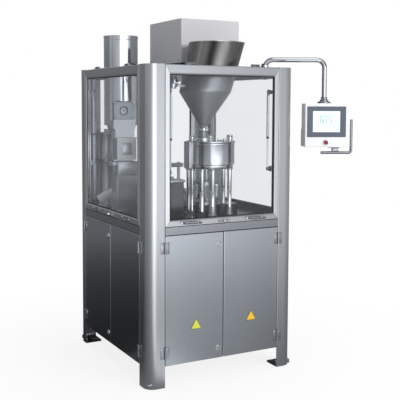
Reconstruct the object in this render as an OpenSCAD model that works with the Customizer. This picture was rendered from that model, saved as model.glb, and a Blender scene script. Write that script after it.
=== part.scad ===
// Automatic capsule filling machine: a stainless cabinet on four corner posts, with a glazed
// working chamber over a table, and a screen on a swinging arm.
// Origin: floor level, centre of the cabinet. +X right along the two front doors, -Y front, +Z up.

/* [Cabinet] */
// Width over the corner posts
cab_w = 890; // [860:5:920]
// Depth over the corner posts
cab_d = 1000; // [960:5:1040]
// Height of the corner posts
cab_h = 1665; // [1640:5:1700]
// Width of each leg of a corner post
post_leg = 100; // [94:1:106]
// Outer radius of the folded post corner
post_r = 55; // [45:1:60]
// Sheet thickness of the posts
post_t = 4; // [3:0.5:5]
// Bottom edge of the doors and panels
skirt_z = 109; // [100:1:120]
// Height of the table's top face
table_z = 834; // [820:1:850]
// Height of the band round the table
band_h = 40; // [30:1:50]

/* [Windows] */
// Width of a window's side rail
stile_w = 30; // [26:1:34]
// Height of a window's bottom rail
rail_w = 36; // [30:1:40]
// Thickness of a window frame
win_t = 25; // [22:1:26]
// Opening angle of the hinged windows
win_open = 70; // [50:5:70]

/* [Hoppers] */
// Radius of the powder hopper's rim
rim_r = 155; // [145:1:158]
// Height of the powder hopper's rim
rim_z = 1803; // [1780:1:1820]
// Outer diameter of the capsule cylinder
caps_d = 198; // [186:2:204]

/* [Screen arm] */
// Radius of the arm's tube
arm_r = 14; // [12:1:16]
// Length of the arm's level run
arm_run = 340; // [300:5:360]
// Angle of the arm at rest
arm_ang = -30; // [-40:1:-20]
// Angle of the screen housing at rest
hmi_ang = -24; // [-34:1:-14]

/* [Hidden] */
$fn = 48;
eps = 0.01;
sheet = 2;
skin = 28;
hx = cab_w / 2;
hy = cab_d / 2;
ix = hx - skin;
iy = hy - skin;
gap = 1.5;
door_x = hx - post_leg;
door_y = hy - post_leg;
door_top = table_z - band_h - 3;
door_z0 = skirt_z + 3;
roof_t = 3;
roof_z = cab_h;
ring_z = 1610;
door_hinge_z = [181, 728];
lock_z = [166, 722];
lock_x = 30;
shank_r = 10.9;
run_gap = 0.06;
knuckle_r = 5;
pin_r = 2.5;
win_hinge_x = 197;
win_axis_z = roof_z + 6;
win_axis_in = 13;
strut_in = 38;
strut_x = 300;
strut_top = 1530;
strut_len = 418;
strut_r = 7;
rod_r = 4;
rod_in = 215;
glass_t = 5;
box_lo = [-53, -100, 1697];
box_hi = [327, 320, 1947];
hop_c = [3, -264];
hop_low = [12, 1530, 143];
hop_rim_x = 85;
hop_out = [1345, 23];
caps_xy = [-286, 220];
caps_bot = 1338;
caps_top = 1856;
dose_c = [50, -264];
bowl_r = 131;
bowl_z = 1112;
disc_c = [40, -228];
disc_r = 82;
turret_c = [-90, -10];
turret_r = 170;
turret_stations = 12;
close_c = [60, 215];
cam_z = 560;
cam_y = 60;
arm_xy = [396, -274];
arm_top = 1718;
arm_socket_r = 18;
arm_bend = 45;
hmi_top = 1471;
hmi_w = 248;
hmi_h = 248;
hmi_d = 100;
hmi_x0 = 5 - hmi_w / 2;
hmi_x1 = 5 + hmi_w / 2;
anchor_r = 7;
anchor_x = hx - 55;
anchor_y = hy - 55;

// ---------- helpers ----------

module box(lo, hi) translate(lo) cube(hi - lo);

module rod(from, r, h, axis = "z") translate(from)
    rotate(axis == "x" ? [0, 90, 0] : axis == "y" ? [-90, 0, 0] : [0, 0, 0]) cylinder(r = r, h = h);

// Outline of the front left corner, set in by d from the outer faces
module corner_2d(d) {
    translate([-hx + post_r, -hy + post_r]) circle(r = post_r - d);
    translate([-hx + d, -hy + post_r]) square([post_leg - d, post_leg - post_r]);
    translate([-hx + post_r, -hy + d]) square([post_leg - post_r, post_leg - d]);
}

// A quarter bend of round bar in the XZ plane, about the origin, from the angle start
module bend(r_bend, r, start) rotate([90, 0, 0]) rotate([0, 0, start])
    rotate_extrude(angle = 90) translate([r_bend, 0]) circle(r = r);

// A rectangular ring of square tube
module ring(z0, z1, wide) difference() {
    box([-ix, -iy, z0], [ix, iy, z1]);
    box([-ix + wide, -iy + wide, z0 - 1], [ix - wide, iy - wide, z1 + 1]);
}

// Pads that join a ring to the inside of the posts
module pads(z0, z1) for (sx = [-1, 1], sy = [-1, 1]) scale_xy(sx, sy) {
    box([ix - eps, door_y + 5, z0], [hx - post_t, door_y + 40, z1]);
    box([door_x + 5, iy - eps, z0], [door_x + 40, hy - post_t, z1]);
}

module scale_xy(sx, sy) mirror([sx < 0 ? 1 : 0, 0, 0]) mirror([0, sy < 0 ? 1 : 0, 0]) children();

// Turns something made for the front side so that it stands on the left side
module on_left() rotate([0, 0, -90]) children();

// ---------- cabinet ----------

module post() color([0.72, 0.74, 0.77]) {
    linear_extrude(cab_h - roof_t) difference() {
        corner_2d(0);
        corner_2d(post_t);
        translate([-hx + post_t, -hy + post_r]) square([post_leg, post_leg]);
        translate([-hx + post_r, -hy + post_t]) square([post_leg, post_leg]);
    }
    box([-door_x - post_t, -hy + post_t - eps, skirt_z], [-door_x, -iy, cab_h - roof_t]);
    box([-hx + post_t - eps, -door_y - post_t, skirt_z], [-ix, -door_y, cab_h - roof_t]);
}

module foot_plates() color([0.08, 0.08, 0.08]) for (sx = [-1, 1], sy = [-1, 1]) scale_xy(-sx, -sy)
    difference() {
        intersection() {
            linear_extrude(10) corner_2d(post_t);
            box([-hx, -hy, 0], [-door_x - 1, -door_y - 1, 10]);
        }
        rod([-anchor_x, -anchor_y, -1], anchor_r, 12);
    }

module base_frame() color([0.6, 0.62, 0.65]) {
    ring(skirt_z + 3, skirt_z + 43, 40);
    pads(skirt_z + 3, skirt_z + 43);
    for (y = [-130, 130]) box([-ix + 40, y - 20, skirt_z + 3], [ix - 40, y + 20, skirt_z + 43]);
}

module floor_pan() color([0.55, 0.57, 0.6]) difference() {
    box([-ix, -iy, skirt_z], [ix, iy, skirt_z + 3]);
    rod([250, 330, skirt_z - 1], 30, 5);
}

module table_frame() color([0.6, 0.62, 0.65]) {
    ring(table_z - band_h, table_z - 12, 40);
    pads(table_z - band_h, table_z - 12);
    for (y = [-130, 130]) box([-ix + 40, y - 20, table_z - band_h], [ix - 40, y + 20, table_z - 12]);
}

module table_plate() color([0.2, 0.2, 0.22]) difference() {
    box([-ix, -iy, table_z - 12], [ix, iy, table_z]);
    rod([turret_c[0], turret_c[1], table_z - 13], 40, 14);
    rod([disc_c[0], disc_c[1], table_z - 13], 26, 14);
}

module band(half) {
    box([-half + gap, -hy, table_z - band_h], [half - gap, -hy + sheet, table_z]);
    box([-half + gap, -hy + sheet - eps, table_z - sheet], [half - gap, -hy + skin, table_z]);
}

module table_band() color([0.5, 0.52, 0.55]) {
    for (a = [0, 180]) rotate([0, 0, a]) band(door_x);
    for (a = [90, -90]) rotate([0, 0, a]) translate([0, hy - hx, 0]) band(door_y);
}

module roof_frame() color([0.6, 0.62, 0.65]) difference() {
    union() {
        ring(ring_z, roof_z - roof_t, 22);
        pads(ring_z, roof_z - roof_t);
    }
    rod([arm_xy[0], arm_xy[1], ring_z - 1], arm_socket_r, roof_z - ring_z);
}

module roof_plate() color([0.66, 0.68, 0.7]) difference() {
    translate([0, 0, roof_z - roof_t]) linear_extrude(roof_t) {
        square([2 * ix, 2 * iy], center = true);
        for (sx = [-1, 1], sy = [-1, 1]) scale_xy(-sx, -sy) corner_2d(0);
    }
    rod([48, hop_c[1], roof_z - 5], 159, 10);
    rod([caps_xy[0], caps_xy[1], roof_z - 5], caps_d / 2 + 6, 10);
    rod([arm_xy[0], arm_xy[1], roof_z - 5], arm_socket_r, 10);
}

// ---------- window and strut parts, made for the front side at y = -face ----------

// Fixed half of one window hinge, its pin included
module win_hinge_fixed(face) translate([0, -face, 0]) {
    box([0.3, win_axis_in, roof_z], [25, 36, roof_z + 3]);
    rod([0.3, win_axis_in, win_axis_z], 6, 24.7, "x");
    rod([-25, win_axis_in, win_axis_z], pin_r, 26, "x");
}

// Moving half of one window hinge
module win_hinge_moving(face) translate([0, -face, 0]) difference() {
    union() {
        box([-25, 1, roof_z - 2], [-0.3, 17, roof_z + 1]);
        rod([-25, win_axis_in, win_axis_z], 6, 24.7, "x");
    }
    rod([-26, win_axis_in, win_axis_z], pin_r + run_gap, 27, "x");
}

module win_frame(half, face) color([0.62, 0.63, 0.66]) difference() {
    box([-half + gap, -face, table_z + 2], [half - gap, -face + win_t, roof_z - 2]);
    box([-half + stile_w, -face - 1, table_z + rail_w], [half - stile_w, -face + win_t + 1, ring_z + 2]);
    win_pane(half, face);
}

module win_pane(half, face) color([0.8, 0.88, 0.9, 0.3])
    box([-half + stile_w - 6, -face + 8, table_z + rail_w - 6],
        [half - stile_w + 6, -face + 8 + glass_t, ring_z + 8]);

// Bow handle standing out of the bottom rail
module bow_handle(face) for (s = [0, 1]) mirror([s, 0, 0]) {
    rod([-48, -face - 22, table_z + 18], 4, 22, "y");
    translate([-36, -face - 22, table_z + 18]) rotate([0, 0, 180])
        rotate_extrude(angle = 90) translate([12, 0]) circle(r = 4);
    rod([-36, -face - 34, table_z + 18], 4, 36, "x");
}

module win_fittings(half, face, hinge_x) color([0.7, 0.71, 0.73]) {
    for (x = [-hinge_x, hinge_x]) translate([x, 0, 0]) {
        win_hinge_moving(face);
        bow_handle(face);
    }
    box([-32, -face - 5, table_z + 8], [32, -face, table_z + 22]);
    rod([0, -face - 13, table_z + 15], 7, 8, "y");
    for (s = [0, 1]) mirror([s, 0, 0]) {
        box([half - 44.5, -face + win_t, strut_top - strut_len - 15],
            [half - 8, -face + win_t + 3, strut_top - strut_len + 15]);
        box([half - 44.5, -face + win_t + 3 - eps, strut_top - strut_len - 12],
            [half - 40.5, -face + strut_in + 12, strut_top - strut_len + 12]);
    }
}

// Brackets that hold the struts' upper ends to the posts' lips
module strut_bracket(half, face) for (s = [0, 1]) mirror([s, 0, 0]) {
    box([half - 40.5, -face + skin, strut_top - 10],
        [half + 5, -face + skin + 4, strut_top + 10]);
    box([half - 44.5, -face + skin, strut_top - 14],
        [half - 40.5 + eps, -face + strut_in + 13, strut_top + 14]);
}

module strut_tubes(half, face) color([0.25, 0.26, 0.28]) for (s = [-1, 1])
    translate([s * (half - 49), -face + strut_in, 0]) difference() {
        union() {
            rod([-4, 0, strut_top], 8, 8, "x");
            box([-4, -5, strut_top - 22], [4, 5, strut_top]);
            rod([0, 0, strut_top - 252], strut_r, 231);
        }
        rod([0, 0, strut_top - 253], rod_r + run_gap, rod_in + 20);
    }

module strut_rods(half, face) color([0.85, 0.86, 0.87]) for (s = [-1, 1])
    translate([s * (half - 49), -face + strut_in, 0]) {
    rod([-4, 0, strut_top - strut_len], 8, 8, "x");
    rod([0, 0, strut_top - strut_len], rod_r, strut_len - 252 + rod_in);
}

module fixed_windows(part) {
    rotate([0, 0, 180]) if (part == "frame") win_frame(door_x, hy); else win_pane(door_x, hy);
    rotate([0, 0, 90]) if (part == "frame") win_frame(door_y, hx); else win_pane(door_y, hx);
}

// ---------- doors ----------

// Hinge leaf blocks with the pin, axis on z at the origin, post on the -x side
module door_hinge_fixed() {
    box([-24, 3, -30], [-knuckle_r + 1, 6, 30]);
    box([-knuckle_r, 0, -30], [0, 6, -0.3]);
    rod([0, 0, -30], knuckle_r, 29.7);
    rod([0, 0, -30], pin_r, 58);
}

module door_hinge_moving() difference() {
    union() {
        box([knuckle_r - 1, 3, -30], [24, 6, 30]);
        box([0, 0, 0.3], [knuckle_r, 6, 30]);
        rod([0, 0, 0.3], knuckle_r, 29.7);
    }
    rod([0, 0, -0.5], pin_r + run_gap, 32);
}

module at_door_hinges(half, face, s) for (z = door_hinge_z) translate([s * (half + 0.5), -face - 6, z])
    mirror([s > 0 ? 1 : 0, 0, 0]) children();

// A folded sheet door: s = -1 for the leaf on the left, 1 for the one on the right
module door(half, face, s, locks) color([0.6, 0.63, 0.67]) {
    difference() {
        union() {
            mirror([s > 0 ? 1 : 0, 0, 0]) difference() {
                box([-half + gap, -face, door_z0], [-gap, -face + 22, door_top]);
                box([-half + gap + sheet, -face + sheet, door_z0 + sheet],
                    [-gap - sheet, -face + 23, door_top - sheet]);
            }
            if (locks) for (z = lock_z) rod([-lock_x, -face - 3, z], 15, 10, "y");
        }
        if (locks) for (z = lock_z) rod([-lock_x, -face - 4, z], shank_r + run_gap, 14, "y");
    }
    at_door_hinges(half, face, s) door_hinge_moving();
}

module lock(face, z) color([0.3, 0.3, 0.32]) translate([-lock_x, -face, z]) {
    difference() {
        rod([0, -5, 0], shank_r, 28.5, "y");
        box([-7, -6, -1.5], [7, -3, 1.5]);
    }
    box([-8, 23, -8], [8, 26, 44]);
}

// ---------- closed panels ----------

module panel(half, face) difference() {
    box([-half + gap, -face, door_z0], [half - gap, -face + 22, door_top]);
    box([-half + gap + sheet, -face + sheet, door_z0 + sheet],
        [half - gap - sheet, -face + 23, door_top - sheet]);
}

module right_panel() color([0.6, 0.63, 0.67]) rotate([0, 0, 90]) panel(door_y, hx);

module rear_panel() color([0.6, 0.63, 0.67]) rotate([0, 0, 180]) difference() {
    union() {
        panel(door_x, hy);
        rod([-220, -hy - 30, 640], 25, 32, "y");
    }
    rod([-220, -hy - 31, 640], 22.5, 34, "y");
    rod([220, -hy - 1, 200], 12, 4, "y");
    for (i = [0:11]) box([-90, -hy - 1, 260 + i * 24], [90, -hy + 3, 268 + i * 24]);
}

module fixed_brackets() color([0.7, 0.71, 0.73]) {
    for (x = [-win_hinge_x, win_hinge_x]) translate([x, 0, 0]) win_hinge_fixed(hy);
    strut_bracket(door_x, hy);
    for (s = [-1, 1]) at_door_hinges(door_x, hy, s) door_hinge_fixed();
    on_left() {
        for (x = [-win_hinge_x - 20, win_hinge_x + 20]) translate([x, 0, 0]) win_hinge_fixed(hx);
        strut_bracket(door_y, hx);
        for (s = [-1, 1]) at_door_hinges(door_y, hx, s) door_hinge_fixed();
    }
}

// ---------- roof ----------

module control_box() color([0.86, 0.86, 0.88]) {
    difference() {
        box(box_lo, box_hi);
        box(box_lo + [sheet, sheet, -1], box_hi - [sheet, sheet, sheet]);
    }
    difference() {
        box([box_lo[0] + 8, box_lo[1] + 8, roof_z], [box_hi[0] - 8, box_hi[1] - 8, box_lo[2] + 6]);
        box([box_lo[0] + 12, box_lo[1] + 12, roof_z - 1], [box_hi[0] - 12, box_hi[1] - 12, box_lo[2] + 7]);
    }
}

// Cylinder with its flange, the gate housing in front of its lower end and the chute below it
module capsule_hoppers() color([0.55, 0.57, 0.6]) {
    translate([caps_xy[0], caps_xy[1], 0]) {
        difference() {
            rod([0, 0, caps_bot], caps_d / 2, caps_top - caps_bot);
            rod([0, 0, caps_bot + 3], caps_d / 2 - 2, caps_top - caps_bot);
        }
        translate([0, 0, caps_top - 4]) rotate_extrude() translate([caps_d / 2, 0]) circle(r = 2, $fn = 16);
        difference() {
            rod([0, 0, roof_z], caps_d / 2 + 14, 4);
            rod([0, 0, roof_z - 1], caps_d / 2 - 1, 6);
        }
    }
    difference() {
        union() {
            translate([0, 170, 0]) rotate([90, 0, 0]) linear_extrude(70)
                polygon([[-379, 1371], [-379, 1474], [-268, 1476], [-254, 1462], [-249, 1440],
                    [-249, 1400], [-262, 1371]]);
            translate([0, 156, 0]) rotate([90, 0, 0]) linear_extrude(50)
                polygon([[-379, 1371.5], [-243, 1371.5], [-243, 1330], [-250, 1312], [-250, 1274],
                    [-368, 1274], [-368, 1312], [-379, 1322]]);
        }
        rod([caps_xy[0], caps_xy[1], caps_bot + 1], caps_d / 2 - 1, caps_top - caps_bot);
    }
    translate([0, 278, 0]) rotate([90, 0, 0]) linear_extrude(110)
        polygon([[-352, 1338.5], [-222, 1338.5], [-236, 1290], [-338, 1290]]);
}

function hop_ring(t) = [hop_low[0] + t * (hop_rim_x - hop_low[0]), hop_low[1] + t * (rim_z - hop_low[1]),
    hop_low[2] + t * (rim_r - hop_low[2])];

// Hopper body, made smaller by d for the inside
module hopper_solid(d) translate([0, hop_c[1], 0]) {
    hull() {
        translate([hop_rim_x, 0, rim_z - 1]) cylinder(r = rim_r - d, h = 1 + d, $fn = 64);
        translate([hop_low[0], 0, hop_low[1]]) cylinder(r = hop_low[2] - d, h = 0.5, $fn = 64);
    }
    hull() {
        translate([hop_low[0], 0, hop_low[1]]) cylinder(r = hop_low[2] - d, h = 0.5, $fn = 64);
        translate([hop_c[0], 0, hop_out[0] - d]) cylinder(r = hop_out[1] - d, h = 0.5, $fn = 64);
    }
}

module powder_hopper() color([0.3, 0.31, 0.33]) difference() {
    union() {
        hopper_solid(0);
        rod([hop_c[0], hop_c[1], 1272], hop_out[1], hop_out[0] - 1272 + 1);
        rod([hop_c[0], hop_c[1], 1272], 38, 6);
    }
    hopper_solid(2.5);
    rod([hop_c[0], hop_c[1], 1271], hop_out[1] - 3, 90);
}

module hopper_vibrator() color([0.8, 0.8, 0.82]) {
    rod([-198, -286, 1560], 27, 52);
    rod([-198, -286, 1546], 20, 14);
    box([-172, -292, 1560], [-124.5, -280, 1570]);
}

module hmi_arm_base() color([0.75, 0.76, 0.78]) translate([arm_xy[0], arm_xy[1], 0]) difference() {
    union() {
        rod([0, 0, roof_z], 34, 6);
        rod([0, 0, roof_z - 60], arm_socket_r, 61);
    }
    rod([0, 0, roof_z - 61], arm_r + run_gap, 70);
}

// ---------- screen ----------

module at_arm() translate([arm_xy[0], arm_xy[1], 0]) rotate([0, 0, arm_ang]) children();

module at_hmi() at_arm() translate([arm_run, 0, 0]) rotate([0, 0, hmi_ang - arm_ang]) children();

module hmi_arm() color([0.85, 0.86, 0.87]) at_arm() {
    rod([0, 0, roof_z - 60], arm_r, arm_top - arm_bend - roof_z + 60);
    translate([arm_bend, 0, arm_top - arm_bend]) bend(arm_bend, arm_r, 90);
    rod([arm_bend, 0, arm_top], arm_r, arm_run - 2 * arm_bend, "x");
    translate([arm_run - arm_bend, 0, arm_top - arm_bend]) bend(arm_bend, arm_r, 0);
    rod([arm_run, 0, hmi_top + 10], arm_r, arm_top - arm_bend - hmi_top - 10);
    rod([arm_run, 0, hmi_top + 10], 24, 10);
    rod([arm_run, 0, hmi_top - 20], 9, 31);
}

module hmi_housing() color([0.9, 0.9, 0.9]) at_hmi() difference() {
    union() {
        difference() {
            union() {
                box([hmi_x0, -52, hmi_top - hmi_h], [hmi_x1, -52 + hmi_d, hmi_top]);
                box([hmi_x0, -53 + hmi_d, hmi_top - hmi_h], [hmi_x1, -38 + hmi_d, hmi_top - 146]);
            }
            box([hmi_x0 + 3, -49, hmi_top - hmi_h + 3], [hmi_x1 - 3, -56 + hmi_d, hmi_top - 3]);
        }
        rod([0, 0, hmi_top - 24], 20, 30);
        rod([0, 0, hmi_top - 0.5], 38, 10.2);
        rod([1, -50, hmi_top - 222], 14, 20, "y");
    }
    rod([0, 0, hmi_top - 25], 9 + run_gap, 36);
    rod([1, -53, hmi_top - 222], 9 + run_gap, 24, "y");
}

module hmi_screen() color([0.4, 0.45, 0.55]) at_hmi()
    box([5 - 111, -56, hmi_top - 191], [5 + 111, -52, hmi_top - 18]);

module hmi_handle() color([0.75, 0.76, 0.78]) at_hmi() translate([0, -10, 0]) {
    box([25, -22, hmi_top - hmi_h - 5], [90, 22, hmi_top - hmi_h]);
    box([47, -10, hmi_top - hmi_h - 27], [83, 10, hmi_top - hmi_h - 5 + eps]);
    rod([-14, 0, hmi_top - hmi_h - 34], 8, 157, "x");
    translate([143, 0, hmi_top - hmi_h - 18]) bend(16, 8, -90);
    rod([159, 0, hmi_top - hmi_h - 18], 8, 171);
}

module estop_button() color([0.75, 0.1, 0.12]) at_hmi() translate([1, 0, hmi_top - 222]) {
    rod([0, -64, 0], 12.5, 7, "y");
    rod([0, -58, 0], 9, 20, "y");
}

// ---------- stations on the table ----------

module column(p, r, z0, z1, collar) {
    rod([p[0], p[1], z0], r, z1 - z0);
    if (collar > 0) rod([p[0], p[1], z0], r + 9, collar);
}

module guide_columns() color([0.85, 0.86, 0.87]) {
    column([150, -301], 13, table_z, bowl_z, 55);
    column([160, -215], 12, table_z, bowl_z, 0);
    column([14, -350], 15, table_z, bowl_z, 70);
    column([-46, -338], 13, table_z, bowl_z, 0);
    column([-78, -285], 9, table_z, bowl_z, 20);
    column([-68, -225], 12, table_z, bowl_z, 20);
    for (x = [-32, 32]) column([close_c[0] + x, close_c[1]], 10, table_z, 1080, 16);
    box([close_c[0] - 55, close_c[1] - 22, 1080], [close_c[0] + 55, close_c[1] + 22, 1104]);
}

module dosing_bowl() color([0.35, 0.36, 0.38]) {
    difference() {
        union() {
            rod([dose_c[0], dose_c[1], bowl_z], 124, 1134 - bowl_z + 1);
            rod([dose_c[0], dose_c[1], 1134], bowl_r, 128);
            rod([dose_c[0], dose_c[1], 1255], bowl_r + 3, 7);
        }
        rod([dose_c[0], dose_c[1], 1140], bowl_r - 6, 116);
        rod([disc_c[0], disc_c[1], bowl_z - 1], 12 + run_gap, 43);
        rod([hop_c[0], hop_c[1], 1250], 32, 30);
    }
    difference() {
        rod([hop_c[0], hop_c[1], 1262], 38, 10);
        rod([hop_c[0], hop_c[1], 1261], 26, 12);
    }
    for (a = [-28, 62, 152]) rod([dose_c[0] + 105 * cos(a), dose_c[1] + 105 * sin(a), 1262], 17, 32);
    for (a = [-60, -100]) rod([dose_c[0] + 88 * cos(a), dose_c[1] + 88 * sin(a), 1262], 8, 14);
    box([-102, -296, 1112], [-78, -232, 1260]);
    box([-98, -286, 1112], [-72, -242, 1124]);
}

module station_housings() color([0.12, 0.12, 0.13]) {
    difference() {
        rod([turret_c[0], turret_c[1], table_z], 118, 60);
        rod([turret_c[0], turret_c[1], table_z - 1], 30 + run_gap, 62);
    }
    difference() {
        union() {
            translate([disc_c[0], disc_c[1], table_z]) cylinder(r = 72, h = 66, $fn = 8);
            translate([172, -205, table_z]) cylinder(r = 78, h = 66, $fn = 8);
        }
        rod([disc_c[0], disc_c[1], table_z - 1], 20 + run_gap, 70);
        rod([160, -215, table_z - 1], 12, 70);
    }
    box([96, -126, table_z], [204, -98, 1108]);
    box([-240, -290, table_z], [-130, -200, 1040]);
    box([-246, -296, 1040], [-124, -196, 1052]);
}

module dosing_disc() color([0.7, 0.71, 0.73]) difference() {
    union() {
        rod([disc_c[0], disc_c[1], 905], disc_r, 18);
        rod([disc_c[0], disc_c[1], table_z - 60], 20, 132);
        rod([disc_c[0], disc_c[1], 922], 22, 14);
    }
    for (i = [0:5], j = [-1:1]) translate([disc_c[0], disc_c[1], 904]) rotate([0, 0, i * 60 + j * 10])
        rod([66, 0, 0], 4.5, 20);
}

module tamping_head() color([0.5, 0.51, 0.53]) translate([disc_c[0], disc_c[1], 0]) {
    rod([0, 0, 1020], 78, 16);
    rod([0, 0, 1030], 12, 82);
    for (i = [0:5], j = [-1:1]) rotate([0, 0, i * 60 + j * 10]) rod([66, 0, 950], 4, 71);
}

module powder_auger() color([0.75, 0.76, 0.78]) translate([hop_c[0], hop_c[1], 0]) {
    rod([0, 0, 1262], 7, 300);
    for (i = [0:4]) rod([0, 0, 1268 + i * 18], 17, 3);
    for (a = [0, 90]) rotate([0, 0, a]) box([-60 + a / 4, -5, 1500 - a], [60 - a / 4, 5, 1508 - a]);
}

module turret() color([0.3, 0.3, 0.32]) translate([turret_c[0], turret_c[1], 0]) {
    rod([0, 0, table_z - 38], 30, 99);
    rod([0, 0, 895], turret_r, 34);
    rod([0, 0, 928], 70, 60);
    rod([0, 0, 987], 48, 30);
    for (i = [0:turret_stations - 1]) rotate([0, 0, i * 360 / turret_stations]) {
        difference() {
            box([118, -30, 928], [164, 30, 952]);
            for (y = [-20, 0, 20]) rod([148, y, 927], 5, 26);
        }
        rod([98, 0, 928], 9, 46);
    }
}

module sorting_stand() color([0.45, 0.46, 0.48]) {
    box([-335, 160, table_z], [-200, 250, 1046]);
    box([-327, 165, 1045.5], [-206, 245, 1128]);
    box([-360, 172, 1100], [-327.5, 238, 1128]);
}

module capsule_magazine() color([0.6, 0.61, 0.63]) {
    difference() {
        box([-330, 172, 1134], [-209, 238, 1262]);
        for (i = [0:5]) rod([-309 + i * 16, 205, 1133], 4.2, 130);
    }
    box([-336, 168, 1262 - eps], [-203, 242, 1267]);
}

module closing_head() color([0.6, 0.61, 0.63]) translate([close_c[0], close_c[1], 0]) difference() {
    union() {
        box([-50, -24, 965], [50, 24, 1005]);
        for (x = [-12, 0, 12]) rod([x, 0, 935], 4, 31);
    }
    for (x = [-32, 32]) rod([x, 0, 964], 10 + run_gap, 42);
}

module discharge_chute() color([0.8, 0.81, 0.83]) {
    translate([-270, 281, 935]) rotate([0, 0, 152]) rotate([0, 28.5, 0]) difference() {
        box([0, -32, -4], [130, 32, 44]);
        box([-1, -29, 0], [131, 29, 45]);
    }
    difference() {
        rod([-372, 336, table_z], 34, 24);
        rod([-372, 336, table_z + 4], 31, 24);
    }
    translate([-262, 300, 0]) {
        rod([0, 0, table_z], 16, 88);
        rod([0, 0, table_z], 30, 8);
    }
}

module vacuum_canister() color([0.5, 0.51, 0.53]) translate([-305, 406, 0]) {
    difference() {
        rod([0, 0, table_z], 45, 443);
        rod([0, 0, table_z + 4], 42, 434);
    }
    rod([0, 0, 1276], 47, 8);
    rod([0, 0, 1283], 14, 30);
    rod([0, 0, 1120], 48, 10);
}

// ---------- drive under the table ----------

module gear_motor() color([0.25, 0.3, 0.38]) {
    box([-330, cam_y - 70, skirt_z + 43], [-190, cam_y + 70, 420]);
    rod([-260, cam_y - 250, 330], 62, 180, "y");
    rod([-260, cam_y - 270, 330], 64, 20, "y");
    box([-235, cam_y - 200, 385], [-185, cam_y - 110, 420]);
    difference() {
        box([-330, cam_y - 60, 419.5], [-230, cam_y + 60, 640]);
        rod([-331, cam_y, cam_z], 18 + run_gap, 110, "x");
    }
}

module bearing(x) difference() {
    union() {
        box([x - 16, cam_y - 45, cam_z - 34], [x + 16, cam_y + 45, cam_z + 34]);
        box([x - 10, cam_y - 45, cam_z + 33], [x + 10, cam_y + 45, table_z - band_h - 13]);
        box([x - 20, cam_y - 60, table_z - band_h - 14], [x + 20, cam_y + 110, table_z - band_h]);
    }
    rod([x - 17, cam_y, cam_z], 18 + run_gap, 34, "x");
}

module shaft_bearings() color([0.35, 0.37, 0.4]) {
    bearing(-120);
    bearing(230);
}

module camshaft() color([0.6, 0.61, 0.62]) {
    rod([-329, cam_y, cam_z], 18, 590, "x");
    for (i = [0:5]) translate([-85 + i * 50, cam_y, cam_z]) rotate([i * 60, 0, 0])
        difference() {
            union() {
                rod([0, 14, 0], 62, 16, "x");
                rod([0, 0, 0], 40, 30, "x");
            }
            rod([-1, 0, 0], 17.9, 32, "x");
        }
}

post();  // post_front_left
mirror([1, 0, 0]) post();  // post_front_right
mirror([0, 1, 0]) post();  // post_rear_left
rotate([0, 0, 180]) post();  // post_rear_right
foot_plates();
base_frame();
floor_pan();
table_frame();
table_plate();
table_band();
roof_frame();
roof_plate();
fixed_brackets();
fixed_windows("frame");  // fixed_window_frames
fixed_windows("pane");  // fixed_window_panes
right_panel();
rear_panel();
control_box();
capsule_hoppers();
powder_hopper();
hopper_vibrator();
hmi_arm_base();
guide_columns();
dosing_bowl();
station_housings();
sorting_stand();
discharge_chute();
vacuum_canister();
gear_motor();
shaft_bearings();
win_frame(door_x, hy);  // front_window_frame
win_pane(door_x, hy);  // front_window_pane
win_fittings(door_x, hy, win_hinge_x);  // front_window_fittings
strut_tubes(door_x, hy);  // front_strut_tubes
strut_rods(door_x, hy);  // front_strut_rods
on_left() win_frame(door_y, hx);  // left_window_frame
on_left() win_pane(door_y, hx);  // left_window_pane
on_left() win_fittings(door_y, hx, win_hinge_x + 20);  // left_window_fittings
on_left() strut_tubes(door_y, hx);  // left_strut_tubes
on_left() strut_rods(door_y, hx);  // left_strut_rods
door(door_x, hy, -1, true);  // front_left_door
door(door_x, hy, 1, false);  // front_right_door
on_left() door(door_y, hx, -1, true);  // left_rear_door
on_left() door(door_y, hx, 1, false);  // left_front_door
lock(hy, lock_z[1]);  // front_upper_lock
lock(hy, lock_z[0]);  // front_lower_lock
on_left() lock(hx, lock_z[1]);  // left_upper_lock
on_left() lock(hx, lock_z[0]);  // left_lower_lock
hmi_arm();
hmi_housing();
hmi_screen();
hmi_handle();
estop_button();
dosing_disc();
tamping_head();
powder_auger();
turret();
capsule_magazine();
closing_head();
camshaft();
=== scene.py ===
"""Looks of the capsule filling machine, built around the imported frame. Lengths are in metres."""
import math
from itertools import product

import bmesh
import bpy
from mathutils import Matrix, Vector


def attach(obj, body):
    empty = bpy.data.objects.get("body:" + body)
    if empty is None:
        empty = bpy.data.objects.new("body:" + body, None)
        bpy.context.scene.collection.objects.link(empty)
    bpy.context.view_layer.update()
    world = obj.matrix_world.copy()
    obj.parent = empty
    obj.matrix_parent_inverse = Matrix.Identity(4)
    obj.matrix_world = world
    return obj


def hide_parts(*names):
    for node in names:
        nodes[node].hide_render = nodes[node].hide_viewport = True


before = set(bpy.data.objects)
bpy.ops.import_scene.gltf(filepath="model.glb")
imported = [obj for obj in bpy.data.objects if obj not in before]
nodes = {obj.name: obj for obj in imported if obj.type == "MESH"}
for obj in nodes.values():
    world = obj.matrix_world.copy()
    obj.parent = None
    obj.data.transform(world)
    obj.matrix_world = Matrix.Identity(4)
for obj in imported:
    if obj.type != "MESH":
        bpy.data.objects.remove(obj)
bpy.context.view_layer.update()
scene = bpy.context.scene

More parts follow.
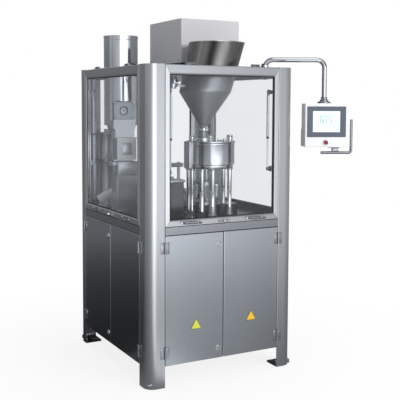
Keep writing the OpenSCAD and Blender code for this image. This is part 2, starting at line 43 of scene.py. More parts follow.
HX, HY = 0.445, 0.5                       # half width and half depth over the posts
LEG = 0.1                                 # leg of a corner post
DOOR_X, DOOR_Y = HX - LEG, HY - LEG         # half widths of the front and left openings
SKIN = 0.028                                # depth of a post's folded lips
SKIRT, TABLE, ROOF = 0.109, 0.834, 1.665    # heights of the doors' foot, the table top and the roof
BAND = 0.04                                # height of the band between doors and windows
GAP = 0.0015                                # from a leaf's edge to the middle of its gap
DOOR_Z0, DOOR_Z1 = SKIRT + 0.003, TABLE - BAND - 0.003
LOCK_Z = (0.166, 0.722)
HINGE_Z = (0.181, 0.728)

UP, DOWN = (0, 0, 1), (0, 0, -1)
AHEAD, BEHIND = (0, -1, 0), (0, 1, 0)
LEFTWARD, RIGHTWARD = (-1, 0, 0), (1, 0, 0)
CORNERS = ((-1, -1), (1, -1), (1, 1), (-1, 1))

# The front side's parts are carried to the other sides by these.
FRONT = Matrix.Identity(4)
LEFT = Matrix.Rotation(-math.pi / 2, 4, "Z")
RIGHT = Matrix.Rotation(math.pi / 2, 4, "Z")
REAR = Matrix.Rotation(math.pi, 4, "Z")
MIRROR_X = Matrix.Scale(-1, 4, (1, 0, 0))
MIRROR_Y = Matrix.Scale(-1, 4, (0, 1, 0))

# ---------------- camera


def make_camera():
    yaw, pitch, roll = 0.49587, -0.07174, 0.00417
    forward = Vector((math.sin(yaw) * math.cos(pitch), math.cos(yaw) * math.cos(pitch), math.sin(pitch)))
    level = Vector((math.cos(yaw), -math.sin(yaw), 0))
    upright = level.cross(forward)
    right = math.cos(roll) * level + math.sin(roll) * upright
    up = -math.sin(roll) * level + math.cos(roll) * upright
    data = bpy.data.cameras.new("camera")
    data.lens = 69.5
    data.sensor_width = 36
    data.shift_y = -0.1
    data.clip_end = 60
    camera = bpy.data.objects.new("camera", data)
    turn = Matrix((right, up, -forward)).transposed().to_4x4()
    camera.matrix_world = Matrix.Translation((-2.0431, -4.008, 1.4614)) @ turn
    scene.collection.objects.link(camera)
    scene.camera = camera


make_camera()

# ---------------- materials


class Graph:
    """A short way to write a node tree."""

    def __init__(self, tree):
        self.tree = tree
        tree.nodes.clear()

    def put(self, socket, value):
        if isinstance(value, bpy.types.NodeSocket):
            self.tree.links.new(value, socket)
        else:
            socket.default_value = value

    def add(self, kind, inputs=None, **settings):
        node = self.tree.nodes.new(kind)
        for key, value in settings.items():
            setattr(node, key, value)
        for key, value in (inputs or {}).items():
            self.put(node.inputs[key], value)
        return node

    def math(self, operation, a, b=0.0):
        return self.add("ShaderNodeMath", {0: a, 1: b}, operation=operation).outputs[0]

    def ramp(self, fac, stops):
        """A colour ramp over (place, colour) stops. A single number stands for a grey."""
        node = self.add("ShaderNodeValToRGB", {0: fac})
        elements = node.color_ramp.elements
        while len(elements) < len(stops):
            elements.new(0.5)
        for element, (place, colour) in zip(elements, stops):
            element.position = place
            element.color = (*colour, 1) if isinstance(colour, list) else (colour, colour, colour, 1)
        return node.outputs[0]

    def coords(self, scale=(1, 1, 1)):
        source = self.add("ShaderNodeTexCoord").outputs["Object"]
        return self.add("ShaderNodeMapping", {0: source, "Scale": scale}).outputs[0]

    def noise(self, vector, scale, detail=3.0, rough=0.5):
        inputs = {"Vector": vector, "Scale": scale, "Detail": detail, "Roughness": rough}
        return self.add("ShaderNodeTexNoise", inputs).outputs[0]

    def mix(self, fac, a, b, blend="MIX"):
        node = self.add("ShaderNodeMix", {0: fac}, data_type="RGBA", blend_type=blend)
        for index, value in ((6, a), (7, b)):
            is_socket = isinstance(value, bpy.types.NodeSocket)
            self.put(node.inputs[index], value if is_socket else (*value[:3], 1))
        return node.outputs[2]

    def scale_range(self, value, low, high):
        return self.add("ShaderNodeMapRange", {0: value, 3: low, 4: high}).outputs[0]

    def relief(self, strength, height):
        inputs = {"Strength": strength, "Distance": 0.0004, "Height": height}
        return self.add("ShaderNodeBump", inputs).outputs[0]

    def surface(self, shader):
        self.add("ShaderNodeOutputMaterial", {0: shader.outputs[0]})


def material(name):
    made = bpy.data.materials.new(name)
    made.use_nodes = True
    return made, Graph(made.node_tree)


def shaded(colour, share):
    return [min(1, c * share) for c in colour]


def steel(name, colour, rough, grain="none", streak=0.06, spread=0.05, bump=0.02, metal=1.0):
    """Brushed or polished steel: fine grain along one axis, broad streaks and faint smears."""
    made, g = material(name)
    fine = {"z": (420, 420, 5), "x": (5, 420, 420), "y": (420, 5, 420), "none": (150, 150, 150)}[grain]
    broad = {"z": (26, 26, 0.5), "x": (0.5, 26, 26), "y": (26, 0.5, 26), "none": (6, 6, 6)}[grain]
    hair = g.noise(g.coords(fine), 1.0, 4.0)
    bands = g.noise(g.coords(broad), 1.0, 3.0)
    smears = g.noise(g.coords(), 5.0, 5.0, 0.6)
    tone = g.mix(g.scale_range(bands, 0.0, 1.0), shaded(colour, 1 - streak), shaded(colour, 1 + streak))
    tone = g.mix(g.math("MULTIPLY", hair, 0.25), tone, shaded(colour, 0.82))
    patchy = g.scale_range(smears, rough - spread, rough + spread)
    worn = g.math("ADD", patchy, g.scale_range(hair, -0.04, 0.04))
    g.surface(g.add("ShaderNodeBsdfPrincipled", {
        "Base Color": tone, "Metallic": metal, "Roughness": worn, "Normal": g.relief(bump, hair)}))
    return made


def paint(name, colour, rough, grain=900, bump=0.03, coat=0.0, variation=0.05):
    """Enamel, powder coat or moulded plastic: fine orange peel and slight unevenness."""
    made, g = material(name)
    peel = g.noise(g.coords(), grain, 2.0)
    uneven = g.noise(g.coords(), 6.0, 4.0, 0.6)
    patchy = g.scale_range(uneven, 0.0, 1.0)
    tone = g.mix(patchy, shaded(colour, 1 - variation), shaded(colour, 1 + variation))
    worn = g.scale_range(uneven, rough - 0.06, rough + 0.06)
    g.surface(g.add("ShaderNodeBsdfPrincipled", {
        "Base Color": tone, "Roughness": worn, "Coat Weight": coat, "Normal": g.relief(bump, peel)}))
    return made


def pane_material():
    """Clear acrylic sheet with a faint cool tint, a few hazy smears and more sheen at a low angle."""
    made, g = material("clear_acrylic")
    haze = g.scale_range(g.noise(g.coords((1, 1, 0.4)), 2.5, 5.0, 0.6), 0.01, 0.03)
    slant = g.add("ShaderNodeLayerWeight", {"Blend": 0.3}).outputs["Facing"]
    opacity = g.math("ADD", haze, g.math("MULTIPLY", g.math("POWER", slant, 2.0), 0.42))
    clear = g.add("ShaderNodeBsdfTransparent", {"Color": (0.966, 0.97, 0.975, 1)})
    sheet = g.add("ShaderNodeBsdfPrincipled", {
        "Base Color": (0.78, 0.82, 0.85, 1), "Roughness": 0.05, "IOR": 1.49})
    g.surface(g.add("ShaderNodeMixShader", {0: opacity, 1: clear.outputs[0], 2: sheet.outputs[0]}))
    return made


def display(name, colour, strength):
    """A lit screen layer: soft uneven backlight under a glossy front."""
    made, g = material(name)
    glow = g.noise(g.coords(), 9.0, 2.0)
    tone = g.mix(g.scale_range(glow, 0.0, 1.0), shaded(colour, 0.94), colour)
    g.surface(g.add("ShaderNodeBsdfPrincipled", {
        "Base Color": shaded(colour, 0.15) + [1], "Roughness": 0.12, "Emission Color": tone,
        "Emission Strength": strength}))
    return made


POST = steel("post_steel", (0.605, 0.615, 0.63), 0.3, "z", 0.04, 0.04, 0.012)
DOOR = steel("door_steel", (0.56, 0.585, 0.62), 0.24, "z", 0.05)
# A darker copy of the door steel for the left side's doors: painted shade.
DOOR_LEFT_SHADED = steel("left_door_steel_shaded", (0.5, 0.52, 0.55), 0.15, "z", 0.05, 0.03, 0.015)
RAIL = steel("rail_steel", (0.58, 0.59, 0.61), 0.24, "x", 0.08)
RAIL_Y = steel("rail_steel_y", (0.58, 0.59, 0.61), 0.24, "y", 0.08)
# A darker copy of the rail steel for the band under the windows: painted shade.
BAND_STEEL_SHADED = steel("band_steel_shaded", (0.38, 0.39, 0.41), 0.26, "x", 0.08)
# Nearly black steel for the table top inside the cabinet: painted shade.
TABLE_STEEL_SHADED = steel("table_steel_shaded", (0.042, 0.043, 0.047), 0.24, "none", 0.08, 0.05, 0.008)
STRUT = steel("strut_tube", (0.66, 0.67, 0.69), 0.2, "none", 0.05, 0.05, 0.01)
# A much brighter copy of the rail steel for the windows' upright bars: painted highlight.
STILE_LIT = steel("stile_steel_lit", (0.84, 0.85, 0.87), 0.24, "z", 0.08)
ROOF_STEEL = steel("roof_steel", (0.6, 0.62, 0.64), 0.3, "x")
HOPPER = steel("hopper_steel", (0.315, 0.325, 0.34), 0.3, "none", 0.06, 0.05, 0.01, 0.6)
# A darker, brownish copy of the hopper steel with strong streaks, for the part above the roof: painted shade
# and painted streaky reflections.
HOPPER_TOP_SHADED = steel("hopper_top_painted_shade", (0.21, 0.205, 0.195), 0.2, "z", 0.3, 0.04, 0.01)
CYLINDER = steel("cylinder_steel", (0.74, 0.76, 0.78), 0.1, "z", 0.1)
BOWL = steel("bowl_steel", (0.6, 0.61, 0.63), 0.08, "z", 0.1)
GUIDE = steel("guide_box_steel", (0.32, 0.34, 0.36), 0.3, "none", 0.1, 0.06)
CHUTE_STEEL = steel("chute_steel", (0.86, 0.87, 0.89), 0.4, "none", 0.04, 0.05, 0.01, 0.45)
POLISHED = steel("polished_steel", (0.8, 0.81, 0.83), 0.09, "none", 0.03, 0.03, 0.005)
MACHINED = steel("machined_steel", (0.6, 0.61, 0.63), 0.34, "none", 0.05, 0.05, 0.006)
DARK = steel("dark_steel", (0.105, 0.106, 0.112), 0.2, "none", 0.08, 0.05, 0.006)
FRAME_STEEL = steel("frame_steel", (0.48, 0.49, 0.51), 0.34, "none", 0.08, 0.06)
CHROME = steel("chrome", (0.56, 0.57, 0.59), 0.09, "none", 0.03, 0.03, 0.005)
FITTINGS = steel("fitting_steel", (0.34, 0.35, 0.36), 0.22, "none", 0.06, 0.05, 0.01)
HINGE = steel("hinge_steel", (0.47, 0.48, 0.5), 0.3, "none", 0.05, 0.05, 0.01)
DARK_CHROME = steel("dark_chrome", (0.3, 0.31, 0.33), 0.16, "none", 0.06, 0.04, 0.01)
CAST = steel("cast_aluminium", (0.74, 0.75, 0.77), 0.36, "none", 0.06, 0.06, 0.1)
PANE = pane_material()
BOX_PAINT = paint("box_paint", (0.6, 0.6, 0.615), 0.42, 700, 0.02, 0.0, 0.02)
SCREEN_PAINT = paint("screen_paint", (0.86, 0.86, 0.87), 0.38, 900, 0.04, 0.0, 0.02)
BEZEL = paint("bezel_plastic", (0.085, 0.105, 0.135), 0.38, 1200)
BLACK = paint("black_paint", (0.012, 0.012, 0.013), 0.4, 800, 0.05, 0.0, 0.2)
RUBBER = paint("black_rubber", (0.014, 0.014, 0.015), 0.62, 500, 0.1, 0.0, 0.2)
MOTOR = paint("motor_enamel", (0.07, 0.12, 0.19), 0.36, 300, 0.08, 0.2, 0.08)
RED = paint("red_plastic", (0.2, 0.018, 0.032), 0.3, 900, 0.02, 0.3)
LIME = paint("lime_plate", (0.66, 0.68, 0.08), 0.45, 900, 0.02)
AMBER = paint("amber_plate", (0.85, 0.5, 0.04), 0.45, 900, 0.02)
DISPLAY = display("display_ground", (0.8, 0.93, 0.95), 0.95)
DISPLAY_PALE = display("display_panels", (0.88, 0.97, 0.98), 1.0)
DISPLAY_LINE = display("display_lines", (0.5, 0.66, 0.66), 0.9)

# ---------------- outlines and routes


def circle(centre, radius, z, count=48):
    return [(centre[0] + radius * math.cos(a), centre[1] + radius * math.sin(a), z)
            for a in (2 * math.pi * i / count for i in range(count))]


def around(centre, degrees, radius):
    a = math.radians(degrees)
    return (centre[0] + radius * math.cos(a), centre[1] + radius * math.sin(a))


def spots(centre, radius, count, start=0):
    """Evenly spaced points on a circle."""
    return [around(centre, start + 360 / count * k, radius) for k in range(count)]


def arc(cx, cy, r, start, end, steps):
    return [around((cx, cy), start + (end - start) * i / steps, r) for i in range(steps + 1)]


def rrect(x0, x1, z0, z1, r, y, steps=4):
    """An upright rectangle with round corners."""
    points = []
    left, right, low, high = x0 + r, x1 - r, z0 + r, z1 - r
    for cx, cz, start in ((right, low, 270), (right, high, 0), (left, high, 90), (left, low, 180)):
        points += [(px, y, pz) for px, pz in arc(cx, cz, r, start, start + 90, steps)]
    return points


def rounded(profile, r):
    """Cuts the corners of a lathe profile, so that its edges catch the light."""
    out = [profile[0]]
    for before, here, after in zip(profile, profile[1:], profile[2:]):
        b, h, a = Vector(before), Vector(here), Vector(after)
        reach_b = min(r, (b - h).length * 0.45)
        reach_a = min(r, (a - h).length * 0.45)
        if reach_b < 1e-6 or reach_a < 1e-6:
            out.append(here)
            continue
        out.append(tuple(h + (b - h).normalized() * reach_b))
        out.append(tuple(h + (a - h).normalized() * reach_a))
    out.append(profile[-1])
    return out


def fillet(points, radius, steps=8):
    """Rounds the corners of a polyline."""
    points = [Vector(p) for p in points]
    out = [points[0]]
    for before, here, after in zip(points, points[1:], points[2:]):
        u, v = (before - here).normalized(), (after - here).normalized()
        half = u.angle(v) / 2
        reach = radius / math.tan(half)
        centre = here + (u + v).normalized() * radius / math.sin(half)
        start, end = here + u * reach - centre, here + v * reach - centre
        sweep = start.angle(end)
        for i in range(steps + 1):
            t = i / steps
            point = (start * math.sin((1 - t) * sweep) + end * math.sin(t * sweep)) / math.sin(sweep)
            out.append(centre + point)
    out.append(points[-1])
    return out


# ---------------- mesh building


class Shape:
    """A mesh in the making. It's carried by turn when it becomes a piece."""

    def __init__(self, turn=FRONT):
        self.bm = bmesh.new()
        self.turn = turn

    def rings(self, rings, loop=False):
        """Skins a list of rings of points with quads. Its ends are closed unless it runs in a loop."""
        made = [[self.bm.verts.new(p) for p in ring] for ring in rings]
        pairs = list(zip(made, made[1:]))
        if loop:
            pairs.append((made[-1], made[0]))
        for low, high in pairs:
            count = len(low)
            for i in range(count):
                self.bm.faces.new((low[i], low[(i + 1) % count], high[(i + 1) % count], high[i]))
        if not loop:
            self.bm.faces.new(list(reversed(made[0])))
            self.bm.faces.new(made[-1])

    def box(self, lo, hi, bevel=0.001, segments=2):
        """A box with rounded edges."""
        lo, hi = Vector(lo), Vector(hi)
        size = hi - lo
        matrix = Matrix.Translation((lo + hi) / 2) @ Matrix.Diagonal((*size, 1))
        made = bmesh.ops.create_cube(self.bm, size=1.0, matrix=matrix)
        if bevel > 0:
            edges = list({e for v in made["verts"] for e in v.link_edges})
            bmesh.ops.bevel(self.bm, geom=edges, offset=min(bevel, min(size) * 0.45), segments=segments,
                            profile=0.5, affect="EDGES")

    def prism(self, outline, z0, z1):
        """A closed 2D outline pulled up from z0 to z1."""
        self.rings([[(x, y, z) for x, y in outline] for z in (z0, z1)])

    def lathe(self, centre, profile, count=48, soft=0.0, turn=None):
        """Turns a profile of (radius, height) points about the vertical through centre."""
        if soft:
            profile = rounded(profile, soft)
        rows = [circle(centre, max(radius, 1e-5), z, count) for radius, z in profile]
        if turn:
            rows = [[turn @ Vector(p) for p in row] for row in rows]
        self.rings(rows, loop=profile[0][0] > 1e-4)

    def sleeve(self, centre, inner, outer, z0, z1, soft=0.0006, count=48):
        """An upright tube, or a solid bar where inner is 0."""
        self.lathe(centre, [(inner, z0), (outer, z0), (outer, z1), (inner, z1)], count, soft)

    def disc(self, place, axis, profile, count=32, soft=0.0):
        """A lathe shape with its foot at place, pointing along axis."""
        lean = Vector((0, 0, 1)).rotation_difference(Vector(axis)).to_matrix().to_4x4()
        self.lathe((0, 0), profile, count, soft, Matrix.Translation(place) @ lean)

    def collar(self, place, axis, inner, outer, height, soft=0.0006, sides=6):
        """A ring, or a plain head where inner is 0, standing on place."""
        self.disc(place, axis, [(inner, 0), (outer, 0), (outer, height), (inner, height)], sides, soft)

    def screw(self, place, axis, r=0.0035, h=0.0016):
        """Dome head with a recess."""
        self.disc(place, axis, [(0, 0), (r, 0), (r, h * 0.35), (r * 0.8, h * 0.85), (r * 0.45, h),
                                (r * 0.42, h * 0.5), (0, h * 0.5)], 16)

    def screws(self, xs, ys, zs, axis, r=0.0035, h=0.0016):
        """A screw for every x, y and z of the three rows."""
        for place in product(xs, ys, zs):
            self.screw(place, axis, r, h)

    def tube(self, points, radius, count=20, loop=False):
        """A round bar along a polyline, with flat ends."""
        points = [Vector(p) for p in points]
        rings = []
        normal = None
        total = len(points)
        for i, p in enumerate(points):
            ahead = points[(i + 1) % total] if loop or i + 1 < total else p
            behind = points[i - 1] if loop or i else p
            tangent = (ahead - behind).normalized()
            if normal is None:
                normal = tangent.orthogonal().normalized()
            normal = (normal - tangent * normal.dot(tangent)).normalized()
            side = tangent.cross(normal)
            rings.append([p + radius * (math.cos(a) * normal + math.sin(a) * side)
                          for a in (2 * math.pi * k / count for k in range(count))])
        self.rings(rings, loop)

    def mitred(self, x0, x1, z0, z1, widths, profile):
        """A mitred frame. The profile runs over (share of the bar's width, y)."""
        left, right, low, high = widths
        rings = []
        for sx, sz in CORNERS:
            ox, ix = (x0, x0 + left) if sx < 0 else (x1, x1 - right)
            oz, iz = (z0, z0 + low) if sz < 0 else (z1, z1 - high)
            ring = [(ox + (ix - ox) * t, y, oz + (iz - oz) * t) for t, y in profile]
            rings.append([self.bm.verts.new(p) for p in ring])
        count = len(profile)
        for side in range(4):
            a, b = rings[side], rings[(side + 1) % 4]
            for i in range(count):
                face = self.bm.faces.new((a[i], a[(i + 1) % count], b[(i + 1) % count], b[i]))
                face.material_index = side % 2

    def pan(self, x0, x1, z0, z1, face):
        """A folded sheet with bent edges, open at the back."""
        depth, bend, sheet, corner, steps = 0.022, 0.003, 0.002, 0.0042, 4
        rings = []
        for i in range(steps + 1):
            a = math.radians(90 * i / steps)
            inset = bend * (1 - math.sin(a))
            y = -face + bend * (1 - math.cos(a))
            rings.append(rrect(x0 + inset, x1 - inset, z0 + inset, z1 - inset, corner - inset, y))
        rings.append(rrect(x0, x1, z0, z1, corner, -face + depth))
        for y in (-face + depth, -face + sheet):
            rings.append(rrect(x0 + sheet, x1 - sheet, z0 + sheet, z1 - sheet, corner - sheet, y))
        self.rings(rings)

    def profile(self, outline, y0, y1, edge=0.0015):
        """An outline in x and z, drawn out from y0 to y1, its front edge broken."""
        mx = sum(x for x, z in outline) / len(outline)
        mz = sum(z for x, z in outline) / len(outline)
        share = 1 - edge * 14
        small = [(mx + (x - mx) * share, mz + (z - mz) * share) for x, z in outline]
        rows = ((small, y0), (outline, y0 + edge), (outline, y1))
        self.rings([[(x, y, z) for x, z in row] for row, y in rows])

    def carry(self):
        bmesh.ops.transform(self.bm, matrix=self.turn, verts=self.bm.verts)

    def take(self, part):
        """Adds another shape, carried by its own turn."""
        part.carry()
        mesh = bpy.data.meshes.new("part")
        part.bm.to_mesh(mesh)
        part.bm.free()
        self.bm.from_mesh(mesh)
        bpy.data.meshes.remove(mesh)

    def piece(self, name, look, body="cabinet", replaces=None, sharp=32):
        """Turns the shape into an object that rides on a CAD body."""
        self.carry()
        bm = self.bm
        bmesh.ops.recalc_face_normals(bm, faces=bm.faces)
        limit = math.radians(sharp)
        for edge in bm.edges:
            if len(edge.link_faces) != 2 or edge.calc_face_angle(0) > limit:
                edge.smooth = False
        for face in bm.faces:
            face.smooth = face.calc_area() < (0.0004 if len(face.verts) > 4 else 0.012)
        mesh = bpy.data.meshes.new(name)
        bm.to_mesh(mesh)
        bm.free()
        mesh.materials.append(look)
        made = bpy.data.objects.new(name, mesh)
        scene.collection.objects.link(made)
        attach(made, body)
        if replaces:
            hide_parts(replaces)
        return made


# ---------------- corner posts and feet


def post_outline(lips):
    """Front left corner post seen from above: a folded sheet with one large outer bend."""
    t, r, fold = 0.004, 0.055, 0.003
    x0, y0 = -HX, -HY
    x1, y1 = -DOOR_X, -DOOR_Y
    points = arc(x0 + r, y0 + r, r, 180, 270, 24)
    if lips:
        points += arc(x1 - fold, y0 + fold, fold, 270, 360, 4)
        points += [(x1, y0 + SKIN), (x1 - t, y0 + SKIN), (x1 - t, y0 + t)]
    else:
        points += [(x1, y0), (x1, y0 + t)]
    points += arc(x0 + r, y0 + r, r - t, 270, 180, 24)
    if lips:
        points += [(x0 + t, y1 - t), (x0 + SKIN, y1 - t), (x0 + SKIN, y1)]
        points += arc(x0 + fold, y1 - fold, fold, 90, 180, 4)
    else:
        points += [(x0 + t, y1), (x0, y1)]
    return points


POSTS = (("front_left", FRONT), ("front_right", MIRROR_X), ("rear_left", MIRROR_Y), ("rear_right", REAR))
for side, turn in POSTS:
    s = Shape(turn)
    s.prism(post_outline(False), 0.0, SKIRT)
    s.prism(post_outline(True), SKIRT, ROOF - 0.003)
    s.piece(f"post_{side}_skin", POST, replaces=f"post_{side}", sharp=50)

    s = Shape(turn)
    s.collar((-HX + 0.055, -HY + 0.055, 0.01), UP, 0, 0.013, 0.0025, sides=32)
    s.box((-HX + 0.006, -HY + 0.0085, 0.009), (-HX + 0.01, -DOOR_Y - 0.004, 0.03))
    s.box((-HX + 0.0085, -HY + 0.006, 0.009), (-DOOR_X - 0.004, -HY + 0.01, 0.03))
    s.piece(f"foot_{side}_fixings", MACHINED)

# ---------------- windows

STILE_W, LOW_RAIL, TOP_RAIL = 0.0285, 0.034, 0.051


def window(name, half, face, body, turn, replaced, rail):
    """The bars, gaskets and mitre seams of a window."""
    x, z0, z1 = half - GAP, TABLE + 0.002, ROOF - 0.002
    front, back = -face, -face + 0.025
    s = Shape(turn)
    s.mitred(-x, x, z0, z1, (STILE_W, STILE_W, LOW_RAIL, TOP_RAIL), [
        (0.0, front + 0.0015), (0.03, front + 0.0004), (0.06, front), (0.8, front), (0.83, front + 0.0003),
        (0.97, front + 0.0042), (1.0, front + 0.0055), (1.0, back - 0.001), (0.96, back), (0.04, back),
        (0.0, back - 0.0015)])
    bars = s.piece(f"{name}_bars", rail, body, replaced, sharp=20)
    # The upright bars take the brighter copy of the rail steel: painted highlight.
    bars.data.materials.append(STILE_LIT)

    s = Shape(turn)
    for y0, y1 in ((front + 0.0035, front + 0.0079), (front + 0.0131, front + 0.0175)):
        s.mitred(-x + 0.0275, x - 0.0275, z0 + 0.033, z1 - 0.05, (0.0035,) * 4,
                 [(0.0, y0), (0.6, y0), (0.9, y0 + 0.001), (1.0, y0 + 0.002), (1.0, y1), (0.0, y1)])
    s.piece(f"{name}_gasket", RUBBER, body)

    s = Shape(turn)
    deep = Vector(BEHIND)
    for sx, sz in CORNERS:
        outer = Vector((sx * (x - 0.001), front - 0.00005, z0 + 0.001 if sz < 0 else z1 - 0.001))
        inner = Vector((sx * (x - STILE_W), front - 0.00005, z0 + LOW_RAIL if sz < 0 else z1 - TOP_RAIL))
        along = (inner - outer).normalized()
        lie = Matrix((along, deep, along.cross(deep))).transposed().to_4x4()
        size = Matrix.Diagonal(((inner - outer).length * 0.84, 0.0003, 0.0007, 1))
        bmesh.ops.create_cube(s.bm, size=1.0, matrix=Matrix.Translation((inner + outer) / 2) @ lie @ size)
    s.piece(f"{name}_mitres", DARK, body)


window("front_window", DOOR_X, HY, "front_window", FRONT, "front_window_frame", RAIL)
window("left_window", DOOR_Y, HX, "left_window", LEFT, "left_window_frame", RAIL_Y)
window("rear_window", DOOR_X, HY, "cabinet", REAR, None, RAIL)
window("right_window", DOOR_Y, HX, "cabinet", RIGHT, "fixed_window_frames", RAIL_Y)


def window_details(name, half, face, hinge_x, turn):
    """Screws, handle roses, catch and strut fixings of a hinged window, then those of its fixed leaves."""
    s = Shape(turn)
    for x in (-hinge_x, hinge_x):
        s.screws((x - 0.019, x - 0.008), (-face + 0.0065,), (ROOF + 0.001,), UP)
        for dx in (-0.048, 0.048):
            s.disc((x + dx, -face, TABLE + 0.018), AHEAD, [
                (0, -0.0005), (0.0085, -0.0005), (0.0085, 0.0025), (0.0045, 0.004), (0, 0.004)], soft=0.0006)
    s.disc((0, -face - 0.005, TABLE + 0.015), AHEAD, [
        (0, 0), (0.0095, 0), (0.0095, 0.003), (0.0075, 0.005), (0.0075, 0.0115), (0.0055, 0.013), (0, 0.013)],
        soft=0.0007)
    s.screws((-0.025, 0.025), (-face - 0.005,), (TABLE + 0.015,), AHEAD)
    for side in (-1, 1):
        xs = (side * (half - 0.016), side * (half - 0.032))
        s.screws(xs, (-face + 0.028,), (1.104, 1.12), BEHIND, 0.003)
    s.piece(f"{name}_screws", POLISHED, name)

    s = Shape(turn)
    for x in (-hinge_x, hinge_x):
        s.screws((x + 0.007, x + 0.018), (-face + 0.029,), (ROOF + 0.003,), UP, 0.003)
        s.collar((x + 0.025, -face + 0.013, ROOF + 0.006), RIGHTWARD, 0, 0.0045, 0.0018, sides=16)
    s.screws((-half + 0.008, half - 0.008), (-face + SKIN,), (1.53,), AHEAD)
    s.piece(f"{name}_hinge_screws", FITTINGS)


window_details("front_window", DOOR_X, HY, 0.197, FRONT)
window_details("left_window", DOOR_Y, HX, 0.217, LEFT)

# ---------------- doors and panels

LOCK_X = -0.03


def door_leaf(corner, half, face, side, turn, sign=None):
    """A leaf with its stiffener and hinge leaves. The one at side -1 carries the locks."""
    name, body = f"{corner}_door", f"{corner}_leaf"
    flipped = turn @ MIRROR_X if side > 0 else turn
    s = Shape(flipped)
    s.pan(-half + GAP, -GAP, DOOR_Z0, DOOR_Z1, face)
    # The left side's leaves wear the darker copy of the door steel: painted shade.
    s.piece(f"{name}_skin", DOOR if turn == FRONT else DOOR_LEFT_SHADED, body, name, sharp=40)

    s = Shape(flipped)
    x, z0, z1 = -half * 0.55, DOOR_Z0 + 0.06, DOOR_Z1 - 0.06
    s.box((x - 0.03, -face + 0.0019, z0), (x + 0.03, -face + 0.0035, z1), 0.0006)
    s.box((x - 0.016, -face + 0.003, z0), (x + 0.016, -face + 0.017, z1), 0.003, 3)
    s.piece(f"{name}_stiffener", FRAME_STEEL, body)

    s = Shape(flipped)
    x, y = -half - 0.0005, -face - 0.006
    for z in HINGE_Z:
        s.box((x + 0.003, y + 0.003, z - 0.03), (x + 0.024, y + 0.006, z + 0.03), 0.0009)
        s.sleeve((x, y), 0.00265, 0.0052, z + 0.0003, z + 0.0305, 0.0008, 24)
        s.screws((x + 0.015,), (y + 0.003,), (z - 0.019, z + 0.019), AHEAD, 0.004)
    s.piece(f"{name}_hinges", HINGE, body)

    if side < 0:
        s = Shape(turn)
        for z in LOCK_Z:
            s.disc((LOCK_X, -face, z), AHEAD, [
                (0.0112, -0.002), (0.016, -0.002), (0.016, 0.0012), (0.014, 0.0032), (0.0118, 0.0032),
                (0.0112, 0.0026)], 40, 0.0005)
            s.collar((LOCK_X, -face + 0.002, z), BEHIND, 0.0112, 0.015, 0.006, 0.0005)
        s.piece(f"{name}_lock_rings", POLISHED, body)
    if sign:
        look, x, z = sign
        for part, size, lift, tone in (("edge", 0.064, 0.0008, BLACK), ("plate", 0.058, 0.0011, look)):
            tips = [Vector(around((0, 0), degrees, size / math.sqrt(3))) for degrees in (90, -30, -150)]
            outline = []
            for before, here, after in zip((tips[-1], *tips), tips, (*tips[1:], tips[0])):
                back, on = before - here, after - here
                outline += [here + back * 0.1, here + back * 0.03 + on * 0.03, here + on * 0.1]
            s = Shape(turn)
            s.rings([[(x + p.x, y, z + p.y) for p in outline] for y in (-face + 0.0002, -face - lift)])
            s.piece(f"{name}_sign_{part}", tone, body)


door_leaf("front_left", DOOR_X, HY, -1, FRONT, (LIME, -0.165, 0.306))
door_leaf("front_right", DOOR_X, HY, 1, FRONT, (AMBER, 0.174, 0.31))
door_leaf("left_rear", DOOR_Y, HX, -1, LEFT)
door_leaf("left_front", DOOR_Y, HX, 1, LEFT)

for name, half, face, turn in (("front", DOOR_X, HY, FRONT), ("left", DOOR_Y, HX, LEFT)):
    s = Shape(turn)
    for side, z in product((-1, 1), HINGE_Z):
        x, y = side * (half + 0.0005), -face - 0.006
        low, high = sorted((x + side * 0.003, x + side * 0.024))
        s.box((low, y + 0.0027, z - 0.0302), (high, y + 0.0058, z + 0.0302), 0.0009)
        s.sleeve((x, y), 0, 0.0052, z - 0.0305, z - 0.0003, 0.0008, 24)
        s.screws((x + side * 0.015,), (y + 0.0027,), (z - 0.019, z + 0.019), AHEAD, 0.004)
    s.piece(f"{name}_door_hinges_fixed", HINGE)

    for z, cam in zip(LOCK_Z, ("lower", "upper")):
        s = Shape(turn)
        s.collar((LOCK_X, -face - 0.0035, z), AHEAD, 0.0085, 0.0105, 0.002, 0.0005, 32)
        s.box((-0.0345, -face - 0.0055, z - 0.0012), (-0.0255, -face - 0.003, z + 0.0012), 0.0005)
        s.collar((LOCK_X, -face + 0.026, z), BEHIND, 0, 0.0065, 0.004)
        s.piece(f"{name}_{cam}_lock_core", POLISHED, f"{name}_{cam}_cam")

s = Shape(RIGHT)
s.pan(-DOOR_Y + GAP, DOOR_Y - GAP, DOOR_Z0, DOOR_Z1, HX)
s.piece("right_panel_skin", DOOR, replaces="right_panel", sharp=40)

PANEL_SCREW_Z = (0.15, 0.45, 0.75)
s = Shape(RIGHT)
s.screws((-DOOR_Y + 0.02, DOOR_Y - 0.02), (-HX,), PANEL_SCREW_Z, AHEAD, 0.005, 0.0025)
s.piece("right_panel_screws", POLISHED)

